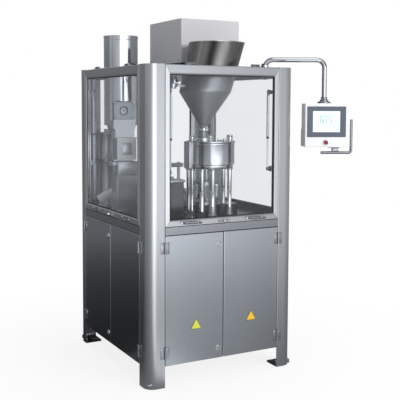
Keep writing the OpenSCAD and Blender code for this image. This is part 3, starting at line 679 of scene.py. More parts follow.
s = Shape(REAR)
for i in range(12):
    z = 0.264 + i * 0.024
    rings = []
    for x, open_by in ((-0.094, 0.0), (-0.09, 0.5), (-0.084, 1.0), (0.084, 1.0), (0.09, 0.5), (0.094, 0.0)):
        d, h = 0.006 * open_by, 0.011
        rings.append([(x, -HY + 0.0002, z + h), (x, -HY - 0.6 * d, z + 0.7 * h), (x, -HY - d, z),
                      (x, -HY - d + 0.0008, z - 0.0006), (x, -HY + 0.0002, z + 0.4 * h)])
    s.rings(rings)
s.collar((-0.22, -HY, 0.64), AHEAD, 0.0255, 0.034, 0.003, 0.0008, 40)
for x, z in spots((-0.22, 0.64), 0.0298, 4, 45):
    s.screw((x, -HY - 0.003, z), AHEAD, 0.0028)
s.disc((0.22, -HY, 0.2), AHEAD,
       [(0.006, 0), (0.016, 0), (0.016, 0.004), (0.011, 0.01), (0.008, 0.016), (0.006, 0.016)], soft=0.0012)
s.screws((-DOOR_X + 0.02, DOOR_X - 0.02), (-HY,), PANEL_SCREW_Z, AHEAD, 0.005, 0.0025)
s.piece("rear_panel_details", DOOR)

# ---------------- control box on the roof

s = Shape()
s.box((-0.053, -0.1, 1.697), (0.327, 0.32, 1.947), 0.0035, 3)
s.piece("control_box_shell", BOX_PAINT, replaces="control_box", sharp=40)
# A recessed plinth under the box. Its black stands in for the shade in the gap under the box: painted shade.
s = Shape()
s.box((-0.045, -0.092, ROOF), (0.319, 0.312, 1.699))
s.piece("control_box_shade_plinth", BLACK)
s = Shape()
s.screws((-0.053,), (-0.07, 0.11, 0.29), (1.712,), LEFTWARD, 0.004)
s.screws((0.327,), (-0.07, 0.11, 0.29), (1.712,), RIGHTWARD, 0.004)
s.screws((-0.023, 0.137, 0.297), (0.32,), (1.712,), BEHIND, 0.004)
for x in (0.03, 0.08, 0.13):
    s.disc((x, 0.32, 1.745), BEHIND, [(0, 0), (0.013, 0), (0.013, 0.006), (0.01, 0.007), (0.01, 0.014),
                                       (0.006, 0.02), (0, 0.02)], 6, 0.001)
s.piece("control_box_fixings", DARK)
s = Shape()
for i in range(9):
    y, z = 0.3199, 1.795 + i * 0.014
    s.rings([[(x, y, z + 0.008), (x, y + d, z + 0.002), (x, y + d, z + 0.001), (x, y, z + 0.003)]
             for x, d in ((0.087, 0.0005), (0.092, 0.005), (0.202, 0.005), (0.207, 0.0005))])
s.piece("control_box_louvres", BOX_PAINT)

# ---------------- capsule cylinder

CAPS = (-0.286, 0.22)
r, low, top = 0.099, 1.338, 1.856
s = Shape()
s.lathe(CAPS, [
    (0, low), (r - 0.003, low), (r - 0.0008, low + 0.001), (r, low + 0.004), (r, top - 0.027),
    (r + 0.0012, top - 0.0262), (r + 0.0016, top - 0.025), (r + 0.0012, top - 0.0238), (r, top - 0.023),
    (r, top - 0.0125), (r + 0.0018, top - 0.012), (r + 0.0018, top - 0.0006), (r + 0.0012, top),
    (r - 0.0015, top), (r - 0.002, top - 0.0005), (r - 0.002, low + 0.003), (0, low + 0.003)], 96)
s.piece("capsule_cylinder_shell", CYLINDER, replaces="capsule_hoppers")
s = Shape()
s.lathe(CAPS, [(r - 0.0005, ROOF), (r + 0.014, ROOF), (r + 0.014, ROOF + 0.004), (r + 0.003, ROOF + 0.004),
               (r + 0.003, ROOF + 0.009), (r - 0.0005, ROOF + 0.009)], 96, 0.0008)
for x, y in spots(CAPS, r + 0.0085, 12, 15):
    s.screw((x, y, ROOF + 0.004), UP, 0.0032)
s.piece("capsule_cylinder_flange", POLISHED)

s = Shape()
s.profile([
    (-0.379, 1.3725), (-0.379, 1.474), (-0.268, 1.476), (-0.259, 1.47), (-0.254, 1.462), (-0.25, 1.45),
    (-0.249, 1.44), (-0.249, 1.4), (-0.262, 1.3725)], 0.1, 0.122)
s.piece("capsule_gate_housing", GUIDE, sharp=30)
s = Shape()
THROAT = ((-0.379, 1.3722), (-0.243, 1.3722), (-0.243, 1.33), (-0.25, 1.312), (-0.25, 1.274),
          (-0.368, 1.274), (-0.368, 1.312), (-0.379, 1.322))
FUNNEL = ((-0.352, 1.3382), (-0.222, 1.3382), (-0.236, 1.29), (-0.338, 1.29))
for outline, ends in ((THROAT, (0.106, 0.156)), (FUNNEL, (0.168, 0.278))):
    s.rings([[(x, y, z) for x, z in outline] for y in ends])
s.piece("capsule_chute_body", MACHINED, sharp=30)
s = Shape()
s.screws((-0.368, -0.268), (0.1,), (1.386, 1.462), AHEAD, 0.004)
s.disc((-0.318, 0.1, 1.424), AHEAD, [(0, 0), (0.026, 0), (0.026, 0.003), (0.02, 0.005), (0.006, 0.005),
                                       (0.006, 0.013), (0, 0.013)], 40, 0.001)
s.screws((-0.352, -0.262), (0.106,), (1.352,), AHEAD, 0.0036)
s.screws((-0.3455,), (0.185, 0.26), (1.316,), LEFTWARD, 0.003)
s.piece("capsule_gate_fittings", FITTINGS)

# ---------------- powder hopper

HOP_Y = -0.264
OUTLET = (0.003, HOP_Y)


def hopper_rings(inset):
    """From the rim down to the outlet: (centre x, radius, z)."""
    stops = ((0.085, 0.155, 1.803), (0.012, 0.143, 1.53), (0.003, 0.023, 1.345))
    rim, low, out = (Vector(stop) for stop in stops)
    rows = [rim.lerp(low, i / 12) for i in range(13)]
    rows[-1].z += 0.001
    rows += [low.lerp(out, 0.006 + i / 8 * 0.994) for i in range(9)]
    return [(x, radius - inset, z) for x, radius, z in rows]


walls = []
for inset, pipe in ((0.0, 0.023), (0.0022, 0.0205)):
    wall = [circle((x, HOP_Y), radius, z, 96) for x, radius, z in hopper_rings(inset)]
    walls.append(wall + [circle(OUTLET, pipe, z, 96) for z in (1.343, 1.3, 1.272)])
s = Shape()
s.rings(walls[0] + walls[1][::-1], loop=True)
made = s.piece("powder_hopper_body", HOPPER, replaces="powder_hopper", sharp=25)
# Faces above the roof take the darker copy: painted shade and painted reflections.
made.data.materials.append(HOPPER_TOP_SHADED)
for face in made.data.polygons:
    if face.center.z > ROOF + 0.008:
        face.material_index = 1
s = Shape()
s.tube(circle((0.085, HOP_Y), 0.1535, 1.801, 96), 0.0022, 12, loop=True)
s.tube(circle((0.0122, HOP_Y), 0.1432, 1.5305, 96), 0.0009, 8, loop=True)
s.piece("powder_hopper_rim", POLISHED)
s = Shape()
s.sleeve(OUTLET, 0.0232, 0.038, 1.272, 1.278, 0.001)
s.sleeve(OUTLET, 0.0232, 0.03, 1.316, 1.334, 0.003)
for x, y in spots(OUTLET, 0.031, 4, 45):
    s.screw((x, y, 1.278), UP)
s.box((-0.004, -0.309, 1.318), (0.01, -0.292, 1.332), 0.0015)
s.collar((0.003, -0.3, 1.332), UP, 0, 0.006, 0.01, 0.001, 20)
s.piece("powder_hopper_outlet_fittings", POLISHED)

s = Shape()
VIBRATOR = (-0.198, -0.286)
fins = [(0, 1.56), (0.024, 1.56)]
for i in range(8):
    z = 1.564 + i * 0.0048
    fins += [(0.024, z), (0.027, z + 0.0003), (0.027, z + 0.002), (0.024, z + 0.0023)]
fins += [(0.024, 1.606), (0.022, 1.612), (0, 1.612)]
s.lathe(VIBRATOR, fins, 40)
s.sleeve(VIBRATOR, 0, 0.02, 1.546, 1.561, 0.002, 40)
s.box((-0.174, -0.3, 1.556), (-0.126, -0.272, 1.561))
s.box((-0.172, -0.292, 1.56), (-0.1245, -0.28, 1.57), 0.0015)
s.box((-0.212, -0.33, 1.572), (-0.184, -0.306, 1.6), 0.003)
s.piece("hopper_vibrator_body", CAST, replaces="hopper_vibrator")
s = Shape()
s.disc((-0.198, -0.33, 1.586), AHEAD, [
    (0, 0), (0.007, 0), (0.007, 0.008), (0.004, 0.012), (0, 0.012)], 6, 0.001)
s.screws((-0.16, -0.14), (-0.286,), (1.57,), UP)
s.piece("hopper_vibrator_fittings", DARK)

# ---------------- dosing bowl and columns

DOSE = (0.05, -0.264)
s = Shape()
s.lathe(DOSE, [(0, 1.112), (0.12, 1.112), (0.124, 1.116), (0.124, 1.1335), (0.131, 1.1345), (0.131, 1.25),
               (0.134, 1.253), (0.134, 1.262), (0.04, 1.2625), (0, 1.2625)], 96, 0.0012)
s.piece("dosing_bowl_body", BOWL, replaces="dosing_bowl")
s = Shape()
for z in (1.14, 1.247):
    s.sleeve(DOSE, 0.1308, 0.1324, z - 0.002, z + 0.002, 0.0007, 96)
s.sleeve(OUTLET, 0.026, 0.039, 1.2625, 1.2722, 0.001)
for x, y in spots(DOSE, 0.1255, 12, 15):
    s.screw((x, y, 1.262), UP, 0.0036, 0.003)
for degrees in (-28, 62, 152):
    s.lathe(around(DOSE, degrees, 0.105), [
        (0, 1.262), (0.011, 1.262), (0.011, 1.268), (0.017, 1.271), (0.0172, 1.274), (0.0172, 1.284),
        (0.0165, 1.286), (0.0172, 1.288), (0.0172, 1.291), (0.015, 1.294), (0, 1.294)], 32)
for degrees in (-60, -100):
    s.sleeve(around(DOSE, degrees, 0.088), 0, 0.008, 1.262, 1.276, 0.0015, 20)
for x, y in spots(DOSE, 0.114, 6, 10):
    s.screw((x, y, 1.1122), DOWN, 0.005, 0.004)
s.piece("dosing_bowl_fittings", POLISHED)
s = Shape()
s.box((-0.102, -0.296, 1.112), (-0.078, -0.232, 1.26), 0.003, 3)
s.box((-0.098, -0.286, 1.112), (-0.072, -0.242, 1.124), 0.002)
for z in (1.135, 1.16, 1.185, 1.21, 1.235):
    s.box((-0.1035, -0.29, z - 0.001), (-0.1015, -0.238, z + 0.001), 0.0004)
s.screws((-0.102,), (-0.287, -0.241), (1.131, 1.252), LEFTWARD)
s.piece("dosing_height_block", MACHINED)

# Each column's x, y, radius and the height of its foot collar.
COLUMNS = ((0.15, -0.301, 0.013, 0.055), (0.16, -0.215, 0.012, 0.0), (0.014, -0.35, 0.015, 0.07),
           (-0.046, -0.338, 0.013, 0.0), (-0.078, -0.285, 0.009, 0.02), (-0.068, -0.225, 0.012, 0.02))
CLOSING_X, CLOSING_Y = (0.028, 0.092), 0.215
s = Shape()
for x, y, r, foot in COLUMNS:
    s.lathe((x, y), [
        (0, TABLE), (r, TABLE), (r, 0.985), (r - 0.0008, 0.986), (r - 0.0008, 0.99), (r, 0.991), (r, 1.112),
        (0, 1.112)], 40, 0.0006)
for x in CLOSING_X:
    s.sleeve((x, CLOSING_Y), 0, 0.01, TABLE, 1.08, count=32)
s.piece("guide_column_bars", POLISHED, replaces="guide_columns")
s = Shape()
for x, y, r, foot in COLUMNS:
    bore = r + 0.0002
    if foot:
        s.lathe((x, y), [
            (bore, TABLE), (r + 0.009, TABLE), (r + 0.009, TABLE + foot * 0.35),
            (r + 0.006, TABLE + foot * 0.45), (r + 0.006, TABLE + foot), (bore, TABLE + foot)], 40, 0.0012)
    s.sleeve((x, y), bore, r + 0.005, 1.1, 1.1118, 0.0012, 40)
for x in CLOSING_X:
    s.sleeve((x, CLOSING_Y), 0.0102, 0.019, TABLE, TABLE + 0.016, 0.001, 32)
    s.collar((x, CLOSING_Y, 1.104), UP, 0, 0.0085, 0.006, 0.001)
s.box((0.005, 0.193, 1.08), (0.115, 0.237, 1.104), 0.002)
s.piece("guide_column_collars", MACHINED)

# ---------------- stations

TURRET, DISC = (-0.09, -0.01), (0.04, -0.228)
BASE_TOP = TABLE + 0.066
s = Shape()
s.lathe(TURRET, [(0.0302, TABLE), (0.118, TABLE), (0.118, TABLE + 0.012), (0.11, TABLE + 0.014),
                 (0.11, TABLE + 0.06), (0.0302, TABLE + 0.06)], 72, 0.0015)
for x, y in spots(TURRET, 0.1142, 12):
    s.collar((x, y, TABLE + 0.012), UP, 0, 0.0036, 0.004)
s.piece("turret_base", DARK)


def eight_sided_base(shape, centre, radius, hole_at, hole, bolt_radius):
    """An octagon with eased edges, bored through, with a bolt in each corner of its top."""
    rows = [(centre, radius - 0.001, TABLE), (centre, radius, TABLE + 0.002),
            (centre, radius, TABLE + 0.063), (centre, radius - 0.003, BASE_TOP),
            (hole_at, hole, BASE_TOP), (hole_at, hole, TABLE)]
    shape.rings([[(x, y, z) for x, y in spots(at, r, 8)] for at, r, z in rows], loop=True)
    for x, y in spots(centre, bolt_radius, 8, 22.5):
        shape.collar((x, y, BASE_TOP), UP, 0, 0.004, 0.004)


s = Shape()
eight_sided_base(s, DISC, 0.072, DISC, 0.0202, 0.058)
eight_sided_base(s, (0.172, -0.205), 0.078, (0.16, -0.215), 0.0122, 0.062)
s.piece("dosing_station_base", DARK, replaces="station_housings", sharp=20)
s = Shape()
s.box((0.096, -0.126, TABLE), (0.204, -0.098, 1.108), 0.003, 3)
s.box((0.102, -0.1275, 0.96), (0.198, -0.1255, 1.096), 0.0008)
s.screws((0.108, 0.192), (-0.1275,), (0.968, 1.028, 1.088), AHEAD, 0.0034)
s.piece("dosing_drive_housing", MACHINED, sharp=40)
s = Shape()
s.box((-0.24, -0.29, TABLE), (-0.13, -0.2, 1.04), 0.003, 3)
for x in (-0.2045, -0.1655):
    s.box((x - 0.0015, -0.2912, TABLE + 0.02), (x + 0.0015, -0.2895, 1.03), 0.0006)
for z in (0.885, 0.985):
    s.box((-0.1302, -0.28, z - 0.0015), (-0.1285, -0.21, z + 0.0015), 0.0006)
s.piece("segment_station_block", DARK, sharp=40)
s = Shape()
s.box((-0.246, -0.296, 1.04), (-0.124, -0.196, 1.052), 0.0025, 3)
s.screws((-0.236, -0.134), (-0.286, -0.206), (1.052,), UP, 0.0036)
s.disc((-0.185, -0.246, 1.052), UP, [(0, 0), (0.02, 0), (0.02, 0.006), (0.012, 0.008), (0.012, 0.016),
                                     (0.008, 0.018), (0, 0.018)], 36, 0.001)
s.piece("segment_station_cover", MACHINED, sharp=40)

s = Shape()
for k in range(12):
    part = Shape(Matrix.Translation((*TURRET, 0)) @ Matrix.Rotation(math.radians(30 * k), 4, "Z"))
    for y in (-0.02, 0.0, 0.02):
        part.sleeve((0.148, y), 0.0052, 0.0078, 0.9515, 0.9542, 0.0005, 16)
    part.sleeve((0.098, 0), 0, 0.0075, 0.974, 0.979, 0.0008, 16)
    part.sleeve((0.098, 0), 0.0092, 0.0125, 0.932, 0.938, 0.0008, 20)
    part.screws((0.126,), (-0.024, 0.024), (0.952,), UP, 0.003)
    s.take(part)
s.lathe(TURRET, [(0, 1.0165), (0.02, 1.0165), (0.02, 1.026), (0.012, 1.028), (0, 1.028)], 32, 0.001)
for x, y in spots(TURRET, 0.037, 6):
    s.collar((x, y, 1.0168), UP, 0, 0.005, 0.005)
s.piece("turret_bushes", POLISHED, "indexing_turret")

s = Shape()
for x, y in spots(DISC, 0.058, 6, 30):
    s.collar((x, y, 1.036), UP, 0, 0.005, 0.005)
for start in (-10, 0, 10):
    for at in spots(DISC, 0.066, 6, start):
        s.sleeve(at, 0.0042, 0.0068, 1.012, 1.02, 0.0008, 16)
s.piece("tamping_pin_nuts", POLISHED, "tamping")

# ---------------- sorting stand, magazine, chute, canister

s = Shape()
s.box((-0.335, 0.16, TABLE), (-0.2, 0.25, 1.046), 0.003, 3)
s.box((-0.327, 0.165, 1.0455), (-0.206, 0.245, 1.128), 0.003, 3)
s.box((-0.36, 0.172, 1.1), (-0.3265, 0.238, 1.128), 0.002)
s.box((-0.342, 0.156, TABLE), (-0.193, 0.254, TABLE + 0.01), 0.002)
s.screws((-0.325, -0.21), (0.16,), (0.88, 1.01), AHEAD, 0.005, 0.003)
s.screws((-0.335,), (0.17, 0.24), (0.88, 1.01), LEFTWARD, 0.005, 0.003)
s.piece("sorting_stand_block", MACHINED, replaces="sorting_stand", sharp=40)
s = Shape()
for k in range(6):
    s.sleeve((-0.309 + 0.016 * k, 0.205), 0.0044, 0.0062, 1.2665, 1.2685, count=16)
s.screws((-0.324, -0.215), (0.172,), (1.15, 1.245), AHEAD, 0.0032)
s.box((-0.3, 0.1695, 1.165), (-0.24, 0.1722, 1.235), 0.0008)
s.piece("magazine_fittings", MACHINED, "magazine")

CHUTE = (Matrix.Translation((-0.27, 0.281, 0.935)) @ Matrix.Rotation(math.radians(152), 4, "Z")
         @ Matrix.Rotation(math.radians(28.5), 4, "Y"))
half_trough = ((0.032, 0.044), (0.032, 0.001), (0.029, -0.003), (0.027, -0.004))
half_lining = ((0.0305, 0.044), (0.0305, 0.0015), (0.027, -0.002))
trough = [(-y, z) for y, z in half_trough] + list(half_trough[::-1])
trough += list(half_lining) + [(-y, z) for y, z in half_lining[::-1]]
s = Shape(CHUTE)
s.rings([[(x, y, z) for y, z in trough] for x in (0.0, 0.13)])
for y in (-0.0317, 0.0317):
    s.tube([(0.0, y, 0.0435), (0.13, y, 0.0435)], 0.0022, 12)
s.piece("discharge_chute_trough", CHUTE_STEEL, replaces="discharge_chute", sharp=40)
s = Shape()
s.lathe((-0.372, 0.336), [(0, TABLE), (0.034, TABLE), (0.034, 0.857), (0.0352, 0.8575), (0.0352, 0.859),
                          (0.032, 0.859), (0.032, TABLE + 0.003), (0, TABLE + 0.003)], 48, 0.0006)
s.lathe((-0.262, 0.3), [(0, TABLE), (0.03, TABLE), (0.03, TABLE + 0.008), (0.016, TABLE + 0.01),
                          (0.016, 0.922), (0, 0.922)], 40, 0.0015)
s.piece("catch_cup_and_post", CHUTE_STEEL)

CANISTER = (-0.305, 0.406)
s = Shape()
s.lathe(CANISTER, [
    (0, TABLE), (0.047, TABLE), (0.047, TABLE + 0.006), (0.045, TABLE + 0.008), (0.045, 1.118), (0.048, 1.12),
    (0.048, 1.13), (0.045, 1.132), (0.045, 1.276), (0.047, 1.277), (0.047, 1.286), (0.03, 1.292), (0, 1.294)],
    56, 0.001)
s.tube([(*CANISTER, 1.285), (*CANISTER, 1.311)], 0.014, 32)
s.piece("vacuum_canister_body", FRAME_STEEL, replaces="vacuum_canister")
s = Shape()
for z in (1.125, 0.845):
    s.sleeve(CANISTER, 0.0482, 0.0492, z - 0.005, z + 0.005, 0.0004, 56)
    s.box((-0.3115, 0.35, z - 0.005), (-0.2985, 0.36, z + 0.005))
s.piece("vacuum_canister_clamps", FITTINGS)

# ---------------- roof details

ARM_AT = (0.396, -0.274)
s = Shape()
s.lathe(ARM_AT, [(0.0143, ROOF), (0.034, ROOF), (0.034, ROOF + 0.006), (0.022, ROOF + 0.007),
                 (0.022, ROOF + 0.022), (0.0143, ROOF + 0.022)], 48, 0.0012)
s.sleeve(ARM_AT, 0.0143, 0.0175, ROOF - 0.06, ROOF)
s.piece("screen_arm_socket", POLISHED, replaces="hmi_arm_base")
s = Shape()
for x, y in spots(ARM_AT, 0.028, 4, 45):
    s.collar((x, y, ROOF + 0.006), UP, 0, 0.0042, 0.004)
s.screws((-0.409, 0.409), (-0.47, -0.3, -0.15, 0.0, 0.15, 0.3, 0.47), (ROOF - 0.0001,), UP)
s.screws((-0.3, -0.1, 0.1, 0.3), (0.486,), (ROOF - 0.0001,), UP)
s.piece("roof_screws", MACHINED)

# ---------------- screen unit, drawn at the arm's and the screen's own axes

ARM_REACH = 0.34
AT_ARM = Matrix.Translation((*ARM_AT, 0)) @ Matrix.Rotation(math.radians(-30), 4, "Z")
AT_HMI = AT_ARM @ Matrix.Translation((ARM_REACH, 0, 0)) @ Matrix.Rotation(math.radians(6), 4, "Z")
HMI_TOP, HMI_LOW = 1.471, 1.223
X0, X1 = -0.119, 0.129
AXIS = (0, 0)

s = Shape(AT_ARM)
route = [(0, 0, 1.605), (0, 0, 1.718), (ARM_REACH, 0, 1.718), (ARM_REACH, 0, HMI_TOP + 0.011)]
s.tube(fillet(route, 0.045, 16), 0.014, 40)
s.piece("screen_arm_tube", CHROME, "screen_arm", "hmi_arm")
s = Shape(AT_ARM)
s.lathe((ARM_REACH, 0), [
    (0.0142, HMI_TOP + 0.0102), (0.024, HMI_TOP + 0.0102), (0.024, HMI_TOP + 0.02), (0.018, HMI_TOP + 0.022),
    (0.018, HMI_TOP + 0.036), (0.0142, HMI_TOP + 0.036)], 40, 0.001)
s.sleeve(AXIS, 0.0142, 0.02, ROOF + 0.0225, ROOF + 0.03, 0.001, 40)
for x, y in spots((ARM_REACH, 0), 0.0205, 4, 45):
    s.collar((x, y, HMI_TOP + 0.02), UP, 0, 0.0028, 0.003, 0.0005)
s.piece("screen_arm_collars", DARK_CHROME, "screen_arm")

s = Shape(AT_HMI)
s.box((X0, -0.052, HMI_LOW), (X1, 0.048, HMI_TOP), 0.004, 4)
s.piece("screen_housing_shell", SCREEN_PAINT, "screen", "hmi_housing", sharp=40)
s = Shape(AT_HMI)
s.box((X0 - 0.0005, 0.0465, HMI_LOW + 0.001), (X1 + 0.0005, 0.062, 1.325), 0.003, 3)
s.piece("screen_housing_back", SCREEN_PAINT, "screen", sharp=40)
s = Shape(AT_HMI)
for i in range(6):
    z = 1.365 + 0.013 * i
    s.box((-0.055, 0.0475, z), (0.065, 0.049, z + 0.004), 0.0006)
s.screws((X0 + 0.012, X1 - 0.012), (0.062,), (1.235, 1.313), BEHIND)
s.screws((X0 + 0.012, X1 - 0.012), (0.048,), (HMI_TOP - 0.012,), BEHIND)
s.disc((-0.06, 0.062, 1.262), BEHIND, [(0, 0), (0.011, 0), (0.011, 0.005), (0.008, 0.006), (0.008, 0.012),
                                        (0.005, 0.018), (0, 0.018)], 6, 0.001)
s.sleeve(AXIS, 0.0095, 0.038, HMI_TOP, HMI_TOP + 0.0095, 0.0012)
for x, y in spots(AXIS, 0.031, 4, 45):
    s.collar((x, y, HMI_TOP + 0.0095), UP, 0, 0.0032, 0.0028, 0.0005)
s.piece("screen_housing_fixings", DARK_CHROME, "screen")

BEZEL_BOX = (-0.106, 0.116, 1.28, 1.453)
SX0, SX1, SZ0, SZ1 = SCREEN_BOX = (-0.0745, 0.0825, 1.3075, 1.4275)


def grown(box, by):
    x0, x1, z0, z1 = box
    return (x0 - by, x1 + by, z0 - by, z1 + by)


s = Shape(AT_HMI)
s.rings([rrect(*grown(box, by), corner, y) for box, by, corner, y in (
    (BEZEL_BOX, 0.0, 0.003, -0.052), (BEZEL_BOX, 0.0, 0.003, -0.055), (BEZEL_BOX, -0.001, 0.002, -0.056),
    (BEZEL_BOX, -0.0035, 0.002, -0.056), (BEZEL_BOX, -0.004, 0.002, -0.0555),
    (SCREEN_BOX, 0.004, 0.002, -0.0555), (SCREEN_BOX, 0.0, 0.001, -0.0545),
    (SCREEN_BOX, 0.0, 0.001, -0.0525))])
s.piece("screen_bezel", BEZEL, "screen", "hmi_screen", sharp=25)
s = Shape(AT_HMI)
s.box((SX0 + 0.0003, -0.0541, SZ0 + 0.0003), (SX1 - 0.0003, -0.053, SZ1 - 0.0003), 0)
s.piece("screen_display", DISPLAY, "screen")

# Flat shapes on the display, in shares of its width and height: (x0, x1, z0, z1).
PANELS = ((0.03, 0.97, 0.9, 0.975), (0.04, 0.22, 0.42, 0.84), (0.8, 0.96, 0.42, 0.84),
          (0.04, 0.3, 0.06, 0.24), (0.36, 0.62, 0.06, 0.24), (0.68, 0.96, 0.06, 0.24))
LINES = ((0.26, 0.3, 0.44, 0.78), (0.3, 0.74, 0.74, 0.77), (0.34, 0.4, 0.44, 0.62), (0.46, 0.49, 0.44, 0.66),
         (0.49, 0.66, 0.63, 0.66), (0.66, 0.7, 0.44, 0.58), (0.03, 0.97, 0.33, 0.345),
         (0.1, 0.24, 0.13, 0.16), (0.43, 0.55, 0.13, 0.16), (0.75, 0.89, 0.13, 0.16))
LAYERS = (("panels", DISPLAY_PALE, PANELS, -0.05425), ("lines", DISPLAY_LINE, LINES, -0.0544))
for name, look, shapes, front in LAYERS:
    w, h = SX1 - SX0, SZ1 - SZ0
    s = Shape(AT_HMI)
    for x0, x1, z0, z1 in shapes:
        s.box((SX0 + w * x0, front, SZ0 + h * z0), (SX0 + w * x1, -0.0541, SZ0 + h * z1), 0)
    s.piece(f"screen_display_{name}", look, "screen")

BUTTON_X, BUTTON_Z = 0.001, 1.249
s = Shape(AT_HMI)
s.disc((BUTTON_X, -0.052, BUTTON_Z), AHEAD,
       [(0.0129, 0), (0.0165, 0), (0.0165, 0.0025), (0.015, 0.0042), (0.0129, 0.0042)], 48, 0.0006)
s.piece("stop_button_ring", POLISHED, "screen")
s = Shape(AT_HMI)
s.disc((BUTTON_X, -0.0565, BUTTON_Z), AHEAD, [
    (0, 0), (0.0108, 0), (0.012, 0.0006), (0.0125, 0.0018), (0.0125, 0.004), (0.0118, 0.0056),
    (0.01, 0.0068), (0.007, 0.0074), (0.0066, 0.007), (0.005, 0.0066), (0, 0.0064)], 48)
s.collar((BUTTON_X, -0.058, BUTTON_Z), BEHIND, 0, 0.009, 0.02, sides=32)
s.piece("stop_button_head", RED, "stop_button", "estop_button")

s = Shape(AT_HMI)
BAR_Y, BAR_X, BAR_Z = -0.01, 0.159, 1.189
BAR_END = [(0, 0), (0.008, 0), (0.0076, 0.002), (0.006, 0.004), (0, 0.0048)]
s.tube(fillet([(-0.014, BAR_Y, BAR_Z), (BAR_X, BAR_Y, BAR_Z), (BAR_X, BAR_Y, 1.376)], 0.016, 12), 0.008, 28)
s.disc((-0.0135, BAR_Y, BAR_Z), LEFTWARD, BAR_END, 28)
s.disc((BAR_X, BAR_Y, 1.3755), UP, BAR_END, 28)
s.piece("screen_handle_bar", DARK_CHROME, "screen", "hmi_handle")
s = Shape(AT_HMI)
s.box((0.025, -0.032, HMI_LOW - 0.005), (0.09, 0.012, HMI_LOW + 0.0003))
s.box((0.047, -0.02, HMI_LOW - 0.0275), (0.083, 0.0, HMI_LOW - 0.0045), 0.0015)
s.screws((0.032, 0.083), (-0.024,), (HMI_LOW - 0.005,), DOWN, 0.003)
s.piece("screen_handle_bracket", DARK_CHROME, "screen")

# ---------------- inside the cabinet

# Black strips against the inner faces of the right and rear window sills: a dark sheet put where there is
# shade, painted shade.
s = Shape()
for turn, half, face in ((RIGHT, DOOR_Y, HX), (REAR, DOOR_X, HY)):
    part = Shape(turn)
    part.box((-half - 0.07, -face + 0.026, TABLE + 0.0005), (half + 0.07, -face + 0.029, TABLE + 0.037))
    s.take(part)
s.piece("sill_shade_strips", BLACK)

s = Shape()
MOTOR_X, MOTOR_Z = -0.26, 0.33
for y, z in product((-0.005, 0.125), (0.17, 0.385)):
    s.collar((-0.33, y, z), LEFTWARD, 0, 0.008, 0.006, 0.001)
for k in range(12):
    s.collar((MOTOR_X, -0.18 + 0.0105 * k, MOTOR_Z), BEHIND, 0.0615, 0.067, 0.004, sides=48)
s.disc((MOTOR_X, -0.21, MOTOR_Z), AHEAD,
       [(0.03, 0), (0.0655, 0), (0.0655, 0.004), (0.06, 0.008), (0.03, 0.008)], 48)
s.piece("gear_motor_fins", MOTOR)

s = Shape()
for k in range(6):
    for y, z in spots((0.06, 0.56), 0.029, 3, 60 * k):
        s.collar((-0.055 + 0.05 * k, y, z), RIGHTWARD, 0, 0.004, 0.003)
s.piece("cam_bolts", POLISHED, "cams")

for name, turn, half, face in (("front", FRONT, DOOR_X, HY), ("left", LEFT, DOOR_Y, HX)):
    s = Shape(turn)
    for x in (-half + 0.049, half - 0.049):
        s.sleeve((x, -face + 0.038), 0.0042, 0.0078, 1.2765, 1.288, 0.0012, 24)
    s.piece(f"{name}_strut_seals", RUBBER, f"{name}_struts")

# ---------------- looks of the CAD nodes

LOOKS = {
    POST: ("post_front_left", "post_front_right", "post_rear_left", "post_rear_right"),
    DOOR: ("front_left_door", "front_right_door", "left_rear_door", "left_front_door", "right_panel",
           "rear_panel"),
    RAIL: ("front_window_frame", "fixed_window_frames"),
    BAND_STEEL_SHADED: ("table_band",),
    RAIL_Y: ("left_window_frame",),
    ROOF_STEEL: ("roof_plate", "roof_frame"),
    FRAME_STEEL: ("base_frame", "table_frame", "floor_pan"),
    RUBBER: ("foot_plates",),
    DARK: ("station_housings",),
    TABLE_STEEL_SHADED: ("table_plate",),
    STRUT: ("front_strut_tubes", "left_strut_tubes"),
    PANE: ("front_window_pane", "left_window_pane", "fixed_window_panes"),
    POLISHED: ("guide_columns", "front_strut_rods", "left_strut_rods", "hmi_arm", "hmi_arm_base",
               "hmi_handle", "discharge_chute"),
    FITTINGS: ("front_window_fittings", "left_window_fittings", "fixed_brackets"),
    HOPPER: ("powder_hopper", "dosing_bowl", "vacuum_canister", "powder_auger"),
    CYLINDER: ("capsule_hoppers",),
    MACHINED: ("turret", "dosing_disc", "tamping_head", "capsule_magazine", "closing_head", "camshaft",
               "sorting_stand", "shaft_bearings", "front_upper_lock", "front_lower_lock", "left_upper_lock",
               "left_lower_lock"),
    BOX_PAINT: ("control_box",),
    CAST: ("hopper_vibrator",),
    MOTOR: ("gear_motor",),
    SCREEN_PAINT: ("hmi_housing",),
    BEZEL: ("hmi_screen",),
    RED: ("estop_button",),
}
for look, names in LOOKS.items():
    for name in names:
        worn_by = nodes[name].data.materials
        worn_by.clear()
        worn_by.append(look)

# ---------------- stage


def by_compass(values, tint=(1, 1, 1)):
    """Brightness by compass direction, in degrees from the front, as stops of a ramp over a full turn."""
    return [(degrees / 360 + 0.5, [value * t for t in tint]) for degrees, value in values]


COOL = (0.97, 1.0, 1.04)
WALLS = by_compass((
    (-180, 0.2), (-160, 0.2), (-125, 0.18), (-102, 0.24), (-97, 0.44), (-92, 0.44), (-86, 0.26),
    (-75, 0.36), (-55, 0.46), (-36, 0.62), (-28, 0.85), (-24.5, 2.0), (-8, 2.7), (8, 2.2), (18, 1.7),
    (25, 1.2), (30, 0.88), (36, 0.64), (46, 0.6), (62, 0.56), (78, 0.5), (110, 0.4), (150, 0.34),
    (180, 0.2)), COOL)


def direction(g, vector):
    """Compass direction of a vector as a share of a turn, with the front at one half."""
    axes = g.add("ShaderNodeSeparateXYZ", {0: vector})
    angle = g.math("ARCTAN2", axes.outputs[0], g.math("MULTIPLY", axes.outputs[1], -1.0))
    return g.math("ADD", g.math("MULTIPLY", angle, 0.5 / math.pi), 0.5), axes.outputs[2]


